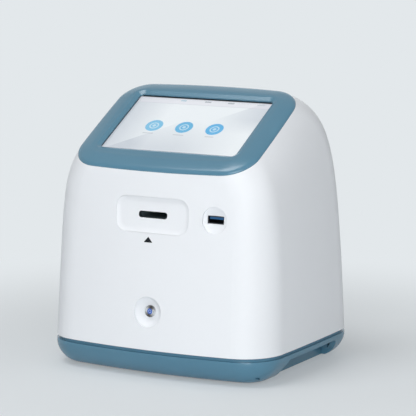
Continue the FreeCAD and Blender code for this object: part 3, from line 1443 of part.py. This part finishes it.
half_fan = size.fan_size / 2
fan_front = worked("fan_front", rear_seat_y - size.fan_thickness)
fan_at = size.rear_middle
plate = size.spigot_wall
strut = size.rib_thickness / 2
strut_reach = size.fan_bore + PAST
fan = fuse(
    cut(block((fan_x - half_fan, fan_x + half_fan), (fan_front, rear_seat_y),
              (fan_at - half_fan, fan_at + half_fan)),
        bore((fan_x, fan_front, fan_at), size.fan_bore, size.fan_thickness, "y")),
    cut(fuse(disc((fan_x, fan_front, fan_at), size.fan_hub_radius, plate, "y"),
             block((fan_x - strut_reach, fan_x + strut_reach), (fan_front, fan_front + plate),
                   (fan_at - strut, fan_at + strut)),
             block((fan_x - strut, fan_x + strut), (fan_front, fan_front + plate),
                   (fan_at - strut_reach, fan_at + strut_reach))),
        bore((fan_x, fan_front, fan_at), size.screw_radius + size.fit_gap, plate, "y")))
keep(fan, "fan_frame")

rotor = Piece("rotor_body")
hub_low = plate + size.snug_gap * 2
rotor_length = size.fan_thickness - hub_low - size.snug_gap * 3
sketch = rotor.sketch((0, 0, hub_low))
draw_circle(sketch, size.fan_hub_radius)
rotor.pad(sketch, rotor_length)
sketch = rotor.sketch((0, 0, 0))
draw_circle(sketch, size.screw_radius)
rotor.pad(sketch, hub_low + PAST)
blade_ends = []
thick = size.blade_thickness
for radius, reach, rise in ((size.fan_hub_radius - thick, size.root_reach, size.root_rise),
                            (size.blade_radius, size.tip_reach, size.tip_rise)):
    sketch = rotor.sketch((radius, 0, hub_low + rotor_length / 2), "side")
    draw_polygon(sketch, [(-reach, -rise), (thick - reach, -rise), (reach, rise),
                          (reach - thick, rise)])
    blade_ends.append(sketch)
blade = rotor.loft(blade_ends)
BLADE_COUNT = 7
blades = rotor.body.newObject("PartDesign::PolarPattern", "rotor_blades")
blades.Originals = [blade]
blades.Axis = (rotor.body.Origin.OriginFeatures[2], [""])
blades.Occurrences = BLADE_COUNT
blades.Angle = 360
rotor.body.Tip = blades
put(rotor.body, "Placement", (fan_x, fan_front, fan_at), (-1, 0, 0), 90)
keep(rotor.body, "fan_rotor")

inlet_front = worked("inlet_front", size.rear_face - size.inlet_length)
inlet = cut(
    fuse(disc((plug_x, inlet_front, size.inlet_height), size.inlet_radius,
              size.inlet_length + size.inlet_flange, "y"),
         disc((plug_x, size.rear_face, size.inlet_height), size.inlet_radius + size.inlet_rim,
              size.inlet_flange, "y")),
    disc((plug_x, inlet_front + size.wall, size.inlet_height), size.inlet_bore,
         size.inlet_length, "y"))
inlet = fuse(inlet, disc((plug_x, inlet_front + size.wall / 2, size.inlet_height),
                         size.inlet_pin, size.inlet_length - size.wall, "y"))
keep(inlet, "dc_inlet")

half_frame = size.switch_width / 2
half_tall = size.switch_tall / 2
half_rocker = size.rocker_width / 2
rocker_half_tall = size.rocker_tall / 2
switch_at = size.switch_height


def switch_block(half_x, half_z, front, back):
    """A box of the switch, centred on it, between two places front to back."""
    return block((plug_x - half_x, plug_x + half_x), (front, back),
                 (switch_at - half_z, switch_at + half_z))


body_inset = size.wall / 2 + size.snug_gap
switch = cut(
    fuse(switch_block(half_frame, half_tall, size.rear_face, size.rear_face + size.wall / 2),
         switch_block(half_frame - body_inset, half_tall - body_inset, inlet_front,
                      size.rear_face)),
    switch_block(half_rocker + size.snug_gap, rocker_half_tall + size.snug_gap,
                 inlet_front + size.wall, size.rear_face + size.wall))
keep(switch, "switch_frame")
rocker = Piece("rocker_body")
sketch = rocker.sketch((0, 0, 0), "side")
waist = rocker_half_tall - size.rocker_waist
face = rocker_half_tall - size.rocker_chamfer
draw_polygon(sketch, [
    (-size.wall * 2, -size.rocker_axle),
    (0, -waist),
    (size.rocker_proud, -face),
    (size.rocker_proud - size.rocker_dip, 0),
    (size.rocker_proud, face),
    (0, waist),
    (-size.wall * 2, size.rocker_axle)])
rocker.pad(sketch, size.rocker_width, "both")
put(rocker.body, "Placement", (plug_x, size.rear_face - size.rocker_axle, switch_at), (1, 0, 0),
    size.rocker_tilt)
keep(rocker.body, "switch_rocker")

doc.recompute()
faults = [thing.Name for thing in doc.Objects if "Invalid" in thing.State or "Error" in thing.State]
if faults:
    raise RuntimeError("failed to build: " + ", ".join(faults))
for thing in pieces:
    if thing.Shape.isNull() or not thing.Shape.isValid():
        raise RuntimeError("bad shape: " + thing.Label)

os.makedirs("parts", exist_ok=True)
for thing in pieces:
    thing.Shape.exportStep("parts/%s.step" % thing.Label)
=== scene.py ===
"""Finishes for the automated cell counter, its screen picture and its printed mark, on a pale floor.

Metres. +X is right as a user faces it, the front is -Y, +Z is up.
"""
import bpy
import numpy as np
from mathutils import Matrix, Vector


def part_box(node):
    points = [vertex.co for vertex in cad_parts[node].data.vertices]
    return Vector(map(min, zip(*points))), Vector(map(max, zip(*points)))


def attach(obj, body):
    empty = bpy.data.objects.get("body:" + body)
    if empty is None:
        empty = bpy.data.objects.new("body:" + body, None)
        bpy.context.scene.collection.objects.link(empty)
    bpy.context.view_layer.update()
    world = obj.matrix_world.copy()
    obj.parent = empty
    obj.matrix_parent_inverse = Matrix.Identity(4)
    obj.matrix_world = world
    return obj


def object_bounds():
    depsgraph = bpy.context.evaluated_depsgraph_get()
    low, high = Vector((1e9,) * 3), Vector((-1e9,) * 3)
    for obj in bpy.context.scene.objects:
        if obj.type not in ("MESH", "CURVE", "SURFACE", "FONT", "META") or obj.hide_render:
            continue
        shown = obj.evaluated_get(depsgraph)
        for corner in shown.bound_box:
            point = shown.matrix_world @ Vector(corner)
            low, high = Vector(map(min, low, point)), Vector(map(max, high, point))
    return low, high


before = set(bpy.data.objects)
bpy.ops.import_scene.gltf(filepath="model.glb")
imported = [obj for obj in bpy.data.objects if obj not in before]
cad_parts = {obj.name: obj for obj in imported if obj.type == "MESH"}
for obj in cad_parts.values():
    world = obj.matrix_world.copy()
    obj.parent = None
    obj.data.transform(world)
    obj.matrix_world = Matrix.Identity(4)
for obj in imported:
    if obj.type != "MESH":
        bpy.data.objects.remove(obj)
cad_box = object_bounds()


# Base tray: one ABS moulding in blue-grey with a fine spark-eroded texture. It carries every
# other piece, and the cover's edge floats over a shadow groove at its top.
MM = 0.001


class Number:
    """A number worked out inside a material: arithmetic on it adds Math nodes."""

    def __init__(self, tree, socket):
        self.tree = tree
        self.socket = socket

    def maths(self, operation, first, second=0.0):
        return self.tree.node("Math", {"operation": operation}, {0: first, 1: second})

    def __add__(self, other):
        return self.maths("ADD", self, other)

    def __sub__(self, other):
        return self.maths("SUBTRACT", self, other)

    def __mul__(self, other):
        return self.maths("MULTIPLY", self, other)

    def __pow__(self, other):
        return self.maths("POWER", self, other)

    def __abs__(self):
        return self.maths("ABSOLUTE", self)

    def at_least(self, other):
        return self.maths("MAXIMUM", self, other)

    def __lt__(self, other):
        return self.maths("LESS_THAN", self, other)


class Tree:
    """A tree of shader nodes, which adds them one at a time."""

    def __init__(self, tree):
        self.tree = tree

    def node(self, kind, settings, sockets, result=0):
        """Adds a node: its settings first, then the values or links of its sockets."""
        made = self.tree.nodes.new("ShaderNode" + kind)
        for name, value in settings.items():
            setattr(made, name, value)
        for name, value in sockets.items():
            self.feed(made.inputs[name], value)
        return Number(self, made.outputs[result])

    def feed(self, socket, value):
        if isinstance(value, Number):
            self.tree.links.new(value.socket, socket)
        else:
            socket.default_value = value

    def mix(self, share, first, second):
        """The first colour at a share of 0 and the second at 1."""
        return self.node("Mix", {"data_type": "RGBA"}, {0: share, 6: first, 7: second}, 2)

    def ramp(self, value, start, end, smooth=False):
        """Runs from 0 where a value is at its start to 1 where it is at its end."""
        kind = "SMOOTHSTEP" if smooth else "LINEAR"
        return self.node("MapRange", {"interpolation_type": kind}, {0: value, 1: start, 2: end})

    def place(self):
        return self.node("TexCoord", {}, {}, "Object")

    def axis(self, place, index):
        return self.node("SeparateXYZ", {}, {0: place}, index)


class Finish(Tree):
    """The material of one finish, built round a Principled shader."""

    def __init__(self, name, **sockets):
        self.material = bpy.data.materials.new(name)
        self.material.use_nodes = True
        super().__init__(self.material.node_tree)
        self.shader = self.tree.nodes["Principled BSDF"]
        self.set(**sockets)

    def set(self, **sockets):
        """Sets sockets of the shader by name, with _ for a space."""
        for name, value in sockets.items():
            self.feed(self.shader.inputs[name.replace("_", " ")], value)

    def noise(self, size, detail=2.0, place=None):
        """Soft noise, 0 to 1, whose blots are about a size in metres."""
        where = place or self.place()
        return self.node("TexNoise", {}, {"Vector": where, "Scale": 1 / size, "Detail": detail})

    def grain(self, height, depth):
        """Raises the surface by a height from 0 to 1, of a depth in metres."""
        self.set(Normal=self.node("Bump", {}, {"Distance": depth, "Height": height}))


def colour(red, green, blue):
    """A colour as it shows on a screen, 0 to 255, turned into the linear light that shaders use."""
    shown = np.array([red, green, blue]) / 255
    linear = np.where(shown <= 0.04045, shown / 12.92, ((shown + 0.055) / 1.055) ** 2.4)
    return (*linear.tolist(), 1.0)


def dress(finish, *names):
    """Gives a finish to nodes that come from the frame."""
    for name in names:
        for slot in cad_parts[name].material_slots:
            slot.material = finish.material


def moulded(name, shade, deep_shade, roughness, depth, **sockets):
    """Moulded plastic: a tiny texture from the mould, and a hardly visible drift in its shade."""
    finish = Finish(name, **sockets)
    drift = finish.noise(40 * MM, 3.0)
    speck = finish.noise(0.35 * MM, 1.0)
    haze = finish.noise(18 * MM)
    finish.set(Base_Color=finish.mix(drift, shade, deep_shade),
               Roughness=speck * 0.08 + haze * 0.05 + (roughness - 0.065))
    finish.grain(speck, depth)
    return finish


MOULD_GRAIN = 0.004 * MM
blue_grey = moulded("moulded_blue_grey", colour(86, 133, 156), colour(79, 126, 150), 0.22,
                    MOULD_GRAIN, Specular_IOR_Level=0.5)
dress(blue_grey, "base_tray")


# Rubber feet: four discs punched from black rubber sheet. Each is glued into a round socket
# under the base.
rubber = moulded("foot_rubber", colour(30, 31, 33), colour(22, 23, 25), 0.75, 0.02 * MM)
dress(rubber, "rubber_feet")


# Screws: pan-head screws of zinc-plated steel. They hold the base, the inner frame, the boards,
# the display bracket and the rear panel, and their heads keep faint marks from turning.
def metal(name, shade, roughness, depth=0.004 * MM):
    """Bare metal with fine scratches along X that make its gloss uneven."""
    finish = Finish(name, Metallic=1.0)
    along = finish.node("Mapping", {}, {"Vector": finish.place(), "Scale": (0.08, 1.0, 1.0)})
    scratch = finish.noise(0.25 * MM, 2.0, along)
    cloud = finish.noise(12 * MM)
    finish.set(Base_Color=finish.mix(cloud * 0.25, shade, colour(124, 124, 124)),
               Roughness=scratch * 0.18 + (roughness - 0.09))
    finish.grain(scratch, depth)
    return finish


zinc = metal("zinc_plate", colour(205, 207, 210), 0.22)
dress(zinc, "base_screws", "frame_screws", "board_screws", "bracket_screws", "panel_screws")


# Circuit boards: green solder mask over copper tracks on glass fibre. They stand on turned
# brass pillars, and the screw's bearing and nut and the button's ring nut are brass too.
def circuit(name):
    """Solder mask, a little lighter and raised where tracks run under it."""
    finish = Finish(name, Roughness=0.3, Coat_Weight=0.3)
    cells = finish.node("TexVoronoi", {"feature": "DISTANCE_TO_EDGE"},
                        {"Vector": finish.place(), "Scale": 1 / (6 * MM)})
    track = cells < 0.06
    haze = finish.noise(9 * MM)
    mask = finish.mix(haze, colour(18, 84, 56), colour(14, 74, 50))
    finish.set(Base_Color=finish.mix(track, mask, colour(42, 120, 82)))
    finish.grain(track, 0.03 * MM)
    return finish


dress(circuit("circuit_green"), "main_board", "usb_board", "lamp_board")
dress(metal("turned_brass", colour(206, 172, 104), 0.28),
      "board_standoffs", "screw_bearing", "lead_nut", "button_nut")


# Heat sink, motor, camera, lens barrel and lamp housing: aluminium, machined or extruded and
# then anodised black. They are screwed to the board or to the optics frame.
dress(metal("black_anodised", colour(40, 41, 44), 0.38, 0.01 * MM),
      "heat_sink", "focus_motor", "camera_housing", "objective_barrel", "lamp_housing")


# Optics frame and focus carriage: milled aluminium, clear anodised, with its tool marks. The
# carriage slides on two ground steel rods and is driven by a steel screw.
dress(metal("milled_aluminium", colour(200, 203, 207), 0.34, 0.02 * MM),
      "optics_frame", "focus_carriage")
dress(metal("ground_steel", colour(214, 216, 219), 0.16), "guide_rods", "lead_screw",
      "slide_switch_lever")


# Lenses: polished optical glass, one held in the lens barrel under the slide and one in the
# lamp housing over it.
lens_glass = Finish("lens_glass", Roughness=0.02, Transmission_Weight=1.0, IOR=1.52,
                    Coat_Weight=0.4)
bloom = lens_glass.noise(4 * MM)
lens_glass.set(Base_Color=lens_glass.mix(bloom, colour(232, 240, 246), colour(214, 228, 244)))
dress(lens_glass, "objective_lens", "condenser_lens")


# Slide channel: a tunnel moulded in dark grey-green plastic, which shows in the front's slot.
# Its cover, the switches, the fan and the inlet are moulded in black glass-filled plastic.
dress(moulded("channel_plastic", colour(84, 98, 104), colour(74, 88, 94), 0.5, 0.012 * MM),
      "slide_channel")
dress(moulded("black_plastic", colour(34, 38, 41), colour(26, 29, 32), 0.5, 0.012 * MM),
      "channel_cover", "slide_switch_body", "camera_sensor", "button_contacts",
      "fan_frame", "fan_rotor", "dc_inlet", "switch_frame", "switch_rocker")


# Cover: one tall white ABS moulding with a satin face, open below and under the screen. It is
# screwed to the base tray from below.
WHITE = colour(236, 239, 243)
WHITE_DEEP = colour(234, 237, 241)
SATIN = 0.42
WHITE_GLOSS = 0.25
white = moulded("moulded_white", WHITE, WHITE_DEEP, SATIN, MOULD_GRAIN,
                Specular_IOR_Level=WHITE_GLOSS)
dress(white, "housing_shell")


# Slot surround: a shallow plate of the cover's white plastic, pressed into its front. The walls of
# the slot cut through it carry painted shade, as dark as the channel behind.
SLOT_MIDDLE = 133.2 * MM
SLOT_HALF = (13.25 * MM, 2.65 * MM)
SLOT_CORNER = 2.2 * MM
WALL_EDGE = 0.06 * MM
shaded_slot_white = moulded("white_with_painted_slot_shade", WHITE, WHITE_DEEP, SATIN, MOULD_GRAIN,
                Specular_IOR_Level=WHITE_GLOSS)
where = shaded_slot_white.place()
across = abs(shaded_slot_white.axis(where, 0)) - (SLOT_HALF[0] - SLOT_CORNER)
upward = abs(shaded_slot_white.axis(where, 2) - SLOT_MIDDLE) - (SLOT_HALF[1] - SLOT_CORNER)
past_corner = (across.at_least(0.0) ** 2.0 + upward.at_least(0.0) ** 2.0) ** 0.5
# Painted shade: the slot's walls are coloured dark where the shade inside the slot falls.
painted_wall_shade = past_corner < SLOT_CORNER + WALL_EDGE
shaded_slot_white.set(Base_Color=shaded_slot_white.mix(painted_wall_shade, WHITE, colour(44, 54, 58)))
dress(shaded_slot_white, "slot_surround")


# Entry mark: a black triangle under the slot that points up at it. It is one pad print, a film
# of ink on the cover's front wall.
MARK_PLACE = (-2.2 * MM, 113.4 * MM)
MARK_WIDTH = 8.2 * MM
MARK_HEIGHT = 4.6 * MM
MARK_CORNER = 0.25 * MM
INK_FILM = 0.06 * MM
INK_GAP = 0.02 * MM


def printed_triangle(name, width, height, corner, film):
    """A thin plate whose outline is a triangle with round corners.

    Corner c of the triangle is the middle of an arc that turns through the angle between the
    outward sides beside it: point(c, turn) = middle(c) + corner * (cos(turn), sin(turn)). The
    plate is that outline at four rings: shrunk to its middle and whole at the back, then whole
    and shrunk to its middle at the front.
    """
    slant = np.arctan2(height, width / 2)
    inset = corner / np.tan((np.pi - 2 * slant) / 2)
    reach = width / 2 - corner / np.tan(slant / 2)
    top = height / 2 - np.hypot(inset, corner)
    middles = np.array([(reach, corner - height / 2), (0, top), (-reach, corner - height / 2)])
    starts = np.array([-np.pi / 2, np.pi / 2 - slant, np.pi / 2 + slant])
    sweeps = np.array([np.pi - slant, 2 * slant, np.pi - slant])
    share = np.linspace(0, 1, 7)
    turns = starts[:, None] + sweeps[:, None] * share
    outline = middles[:, None] + corner * np.stack([np.cos(turns), np.sin(turns)], axis=-1)
    outline = outline.reshape(-1, 2)
    count = len(outline)
    backs = np.column_stack([outline, np.zeros(count)])
    fronts = np.column_stack([outline, np.full(count, film)])
    points = np.vstack([backs, fronts, [(0, 0, 0), (0, 0, film)]])
    step = np.arange(count)
    after = (step + 1) % count
    walls = np.column_stack([step, after, after + count, step + count])
    under = np.column_stack([after, step, np.full(count, 2 * count)])
    over = np.column_stack([step + count, after + count, np.full(count, 2 * count + 1)])
    mesh = bpy.data.meshes.new(name)
    mesh.from_pydata(points.tolist(), [], walls.tolist() + under.tolist() + over.tolist())
    made = bpy.data.objects.new(name, mesh)
    bpy.context.scene.collection.objects.link(made)
    return made


front = Vector((MARK_PLACE[0], cad_box[0][1] - MM, MARK_PLACE[1]))
found, spot, outward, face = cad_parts["housing_shell"].ray_cast(front, Vector((0, 1, 0)))
mark = printed_triangle("entry_mark", MARK_WIDTH, MARK_HEIGHT, MARK_CORNER, INK_FILM)
mark.data.transform(outward.to_track_quat("Z", "Y").to_matrix().to_4x4())
mark.data.transform(Matrix.Translation(spot + outward * INK_GAP))
ink = moulded("black_ink", colour(26, 30, 34), colour(20, 24, 28), 0.5, 0.003 * MM,
              Specular_IOR_Level=0.2)
mark.data.materials.append(ink.material)
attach(mark, "instrument")


# Screen bezel: a frame moulded in the base's blue-grey, with a rolled edge and a bevel round the
# window. It clips over the rim of the cover.
dress(blue_grey, "screen_bezel")


# Display bracket: folded zinc-coated sheet steel. It is screwed to posts inside the cover and
# carries the display from behind.
dress(metal("zinc_sheet", colour(180, 184, 188), 0.35, 0.01 * MM), "display_bracket")


# Display: a colour panel that lies on the screen's slope. It shows a pale page with a bar of
# tabs along its top and three round blue buttons, each with a line of grey under it. The page's
# darker patches and fold lines are partly its own pattern and partly painted reflection and shade.
SCREEN_TILT = np.radians(29.05)
PAGE_HALF = (63.9, 38.1)
BAR_FOOT = 30.4
BUTTON_RADIUS = 7.8
BUTTONS = (((-30.7, -1.8), colour(96, 188, 230)), ((-2.2, -1.6), colour(36, 172, 224)),
           ((26.5, -1.6), colour(0, 170, 230)))
SIGN_RADII = (4.3, 3.1, 1.6)
GREY_LINES = ((-31.5, -12.6, 5.0), (-2.5, -12.6, 5.0), (26.5, -12.3, 4.0))
GREY_LINE_HALF = 0.55
TABS = ((-20.8, 2.6, colour(140, 190, 210)), (2.5, 3.0, colour(136, 146, 156)),
        (24.5, 3.0, colour(136, 146, 156)), (52.5, 3.4, colour(190, 200, 208)))
TAB_HEIGHT = 35.4
TAB_HALF = 0.9
RULE_HALF = 0.25
FOLD_AND_REFLECTION_SLOPE = 0.8
FOLD_AND_REFLECTION_EDGES = (12.0, -5.0)
LEFT_SHADE = (-26.0, -66.0)
LOW_SHADE = (10.0, -30.0)
LOW_SHADE_ENDS = (54.0, 2.0)
RIGHT_SHADE = (18.0, 62.0)
RIGHT_SHADE_FOOT = (-6.0, 14.0)


class Picture(Finish):
    """A picture laid on a tilted face: u runs right and v up the slope, in mm from its middle."""

    def __init__(self, name, middle, tilt, **sockets):
        super().__init__(name, **sockets)
        where = self.node("Mapping", {"vector_type": "TEXTURE"},
                          {"Vector": self.place(), "Location": middle,
                           "Rotation": (tilt, 0, 0), "Scale": (MM, MM, MM)})
        self.u = self.axis(where, 0)
        self.v = self.axis(where, 1)

    def inside(self, distance, soft):
        """1 where a distance to an edge is below zero and 0 outside, across a soft edge."""
        return self.ramp(distance, soft / 2, -soft / 2)

    def disc(self, middle, radius, soft=0.35):
        across = self.u - middle[0]
        along = self.v - middle[1]
        return self.inside((across * across + along * along) ** 0.5 - radius, soft)

    def bar(self, middle, half, soft=0.35):
        across = abs(self.u - middle[0]) - half[0]
        along = abs(self.v - middle[1]) - half[1]
        return self.inside(across.at_least(along), soft)


def page(picture):
    """The pale page, its own pattern with painted reflection and shade laid over it: darker to the
    left and in the lower middle, with two straight folds across it.
    """
    lean = picture.v - picture.u * FOLD_AND_REFLECTION_SLOPE
    left = picture.ramp(picture.u, *LEFT_SHADE) * 0.95
    low = picture.ramp(picture.v, *LOW_SHADE) * picture.ramp(picture.u, *LOW_SHADE_ENDS)
    low = low * (lean < FOLD_AND_REFLECTION_EDGES[0])
    right = picture.ramp(picture.u, *RIGHT_SHADE) * picture.ramp(picture.v, *RIGHT_SHADE_FOOT)
    right = right * (lean < FOLD_AND_REFLECTION_EDGES[1])
    # Painted shade and reflection, partly the page's own pattern: darker to the left, low in the
    # middle and to the upper right.
    shade = left + low * 0.68 + right * 0.85
    return picture.mix(shade, colour(240, 246, 250), colour(198, 206, 216))


def disc_sign(picture, middle):
    """The pale sign in a button: a ring with a dot in its middle."""
    outer, inner, dot = SIGN_RADII
    ring = picture.disc(middle, outer) - picture.disc(middle, inner)
    return ring + picture.disc(middle, dot)


low_corner, high_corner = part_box("display_panel")
panel_middle = (Vector(low_corner) + Vector(high_corner)) / 2
display = Picture("display_face", panel_middle, SCREEN_TILT, Base_Color=colour(8, 9, 10),
                  Roughness=0.3, Emission_Strength=0.9)
shown = page(display)
top_bar = display.ramp(display.v, BAR_FOOT - 0.2, BAR_FOOT + 0.2)
shown = display.mix(top_bar * 0.55, shown, colour(228, 226, 236))
rule = display.bar((0, BAR_FOOT), (PAGE_HALF[0], RULE_HALF))
shown = display.mix(rule * 0.5, shown, colour(186, 192, 204))
for middle, shade in BUTTONS:
    shown = display.mix(display.disc(middle, BUTTON_RADIUS), shown, shade)
    shown = display.mix(disc_sign(display, middle) * 0.7, shown, colour(214, 238, 248))
for across, along, half in GREY_LINES:
    line = display.bar((across, along), (half, GREY_LINE_HALF))
    shown = display.mix(line * 0.5, shown, colour(150, 158, 168))
for across, half, shade in TABS:
    tab = display.bar((across, TAB_HEIGHT), (half, TAB_HALF))
    shown = display.mix(tab * 0.7, shown, shade)
lit = display.bar((0, 0), PAGE_HALF)
display.set(Emission_Color=display.mix(lit, colour(10, 12, 16), shown))
dress(display, "display_panel")


# Touch glass: clear cover glass in the bezel's window, over the display. Its face carries the
# faint haze of a glass that fingers use.
glass = Finish("touch_glass", Base_Color=(1, 1, 1, 1), Transmission_Weight=1.0, IOR=1.45)
smear = glass.noise(30 * MM, 4.0)
glass.set(Roughness=smear * 0.03)
dress(glass, "touch_glass")


# USB socket: a folded shell of nickel-plated steel, darkened with painted shade, round a blue
# plastic tongue. It sits on its own small board behind the round dish in the cover.
# Painted shade: the shell's steel is given a dark colour for the shade it sits in.
dress(metal("nickel_in_painted_shade", colour(52, 57, 64), 0.4), "usb_shell")
dress(moulded("socket_blue", colour(26, 92, 140), colour(20, 82, 130), 0.35, 0.005 * MM),
      "usb_tongue")


# Power button: a polished steel push button, held from behind by its ring nut. The clear blue
# lens in its cap is lit from inside, with a small pale ring.
RING_RADIUS = 1.15
RING_HALF = 0.25
RING_SOFT = 0.2
PAINTED_REFLECTION_TURN = 2.2
low_corner, high_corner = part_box("button_lens")
lens_middle = (Vector(low_corner) + Vector(high_corner)) / 2
steel = metal("polished_steel", colour(215, 216, 218), 0.14)
# Painted reflection: the steel's colour runs from dark to bright by angle round the lens, in place
# of reflected surroundings.
where = steel.place()
rise = steel.axis(where, 2) - lens_middle.z
run = steel.axis(where, 0) - lens_middle.x
bearing = steel.node("Math", {"operation": "ARCTAN2"}, {0: rise, 1: run})
painted_reflection = steel.node("Math", {"operation": "SINE"}, {0: bearing * 2.0 + PAINTED_REFLECTION_TURN}) * 0.5 + 0.5
steel.set(Base_Color=steel.mix(painted_reflection, colour(96, 92, 90), colour(225, 226, 228)))
dress(steel, "button_barrel", "button_cap")
light_pipe = Picture("blue_light", lens_middle, np.pi / 2, Roughness=0.15, Coat_Weight=0.5,
                     Base_Color=colour(30, 60, 130), Emission_Strength=0.5)
bright_ring = (light_pipe.disc((0, 0), RING_RADIUS + RING_HALF, RING_SOFT)
               - light_pipe.disc((0, 0), RING_RADIUS - RING_HALF, RING_SOFT))
light_pipe.set(Emission_Color=light_pipe.mix(bright_ring, colour(52, 92, 176),
                                             colour(190, 214, 250)))
dress(light_pipe, "button_lens")


# Rear panel: folded sheet steel with a dull grey powder coat. It carries the fan, the switch
# and the inlet, and is screwed into the cover's back.
dress(moulded("powder_grey", colour(150, 156, 160), colour(140, 146, 151), 0.55, 0.03 * MM),
      "rear_panel")


# Floor: a plain pale sheet that runs past the view on every side. Near the object it shows much
# of the lamps' light and the shadow, and further off it fades into the even pale tone of the air.
PALE = colour(227, 232, 235)
FLOOR_REACH = 30.0
FADE_START = 0.14
FADE_END = 0.5
NEAR_SHARE = 0.35


def seen_share(tree):
    """1 for what the camera sees, straight or in gloss and glass, and 0 for light on the object."""
    rays = [tree.node("LightPath", {}, {}, "Is %s Ray" % kind)
            for kind in ("Camera", "Glossy", "Transmission")]
    return rays[0].at_least(rays[1]).at_least(rays[2])


side = np.array([-FLOOR_REACH, FLOOR_REACH])
across, along = np.meshgrid(side, side)
corners = np.stack([across, along, np.zeros_like(across)], axis=-1).reshape(-1, 3)
sheet = bpy.data.meshes.new("studio_floor")
sheet.from_pydata(corners.tolist(), [], [(0, 1, 3, 2)])
floor = bpy.data.objects.new("studio_floor", sheet)
bpy.context.scene.collection.objects.link(floor)
paper = Finish("floor_paper", Base_Color=colour(222, 227, 230), Roughness=0.7)
spot = paper.place()
away = (paper.axis(spot, 0) ** 2.0 + paper.axis(spot, 1) ** 2.0) ** 0.5
fade = paper.ramp(away, FADE_START, FADE_END, smooth=True) * (1 - NEAR_SHARE) + NEAR_SHARE
even = paper.node("Emission", {}, {"Color": PALE, "Strength": 1.0})
lamplit = Number(paper, paper.shader.outputs[0])
joined = paper.node("MixShader", {}, {0: fade * seen_share(paper), 1: lamplit, 2: even})
paper.feed(paper.tree.nodes["Material Output"].inputs["Surface"], joined)
floor.data.materials.append(paper.material)


# Lights: a near soft box in front beside the lens, one overhead to the left, weak ones on the
# right and behind, and a room whose air gives little light but shows as pale.
def soft_box(name, place, size, watts):
    data = bpy.data.lights.new(name, "AREA")
    data.shape = "SQUARE"
    data.size = size
    data.energy = watts
    lamp = bpy.data.objects.new(name, data)
    lamp.location = place
    toward = Vector((0, 0, 0.12)) - Vector(place)
    lamp.rotation_euler = toward.to_track_quat("-Z", "Y").to_euler()
    bpy.context.scene.collection.objects.link(lamp)


soft_box("key_light", (0.643, -1.209, 0.411), 0.8, 9.5)
soft_box("sky_light", (-0.35, -0.64, 1.92), 0.9, 15.0)
soft_box("side_light", (1.850, -0.330, 0.804), 1.2, 3.6)
soft_box("back_light", (-1.1, 2.3, 1.0), 2.0, 4.0)
AIR = (0.20, 0.20, 0.20, 1.0)
world = bpy.data.worlds.new("studio_air")
world.use_nodes = True
air = Tree(world.node_tree)
background = world.node_tree.nodes["Background"].inputs["Color"]
air.feed(background, air.mix(seen_share(air), AIR, PALE))
bpy.context.scene.world = world


# Camera: a long lens, to the right of the front and a little above it.
AZIMUTH = 29.18
ELEVATION = 9.01
DISTANCE = 1.8365
LOOK_AT = Vector((0.0060, 0.0, 0.1282))
FOCAL_LENGTH = 189.5
turn, rise = np.radians([AZIMUTH, ELEVATION])
back = Vector((np.sin(turn) * np.cos(rise), -np.cos(turn) * np.cos(rise), np.sin(rise)))
lens = bpy.data.cameras.new("camera")
lens.lens = FOCAL_LENGTH
lens.clip_end = 100.0
camera = bpy.data.objects.new("camera", lens)
camera.location = LOOK_AT + back * DISTANCE
camera.rotation_euler = (-back).to_track_quat("-Z", "Y").to_euler()
bpy.context.scene.collection.objects.link(camera)
bpy.context.scene.camera = camera
bpy.context.scene.view_settings.view_transform = "Standard"
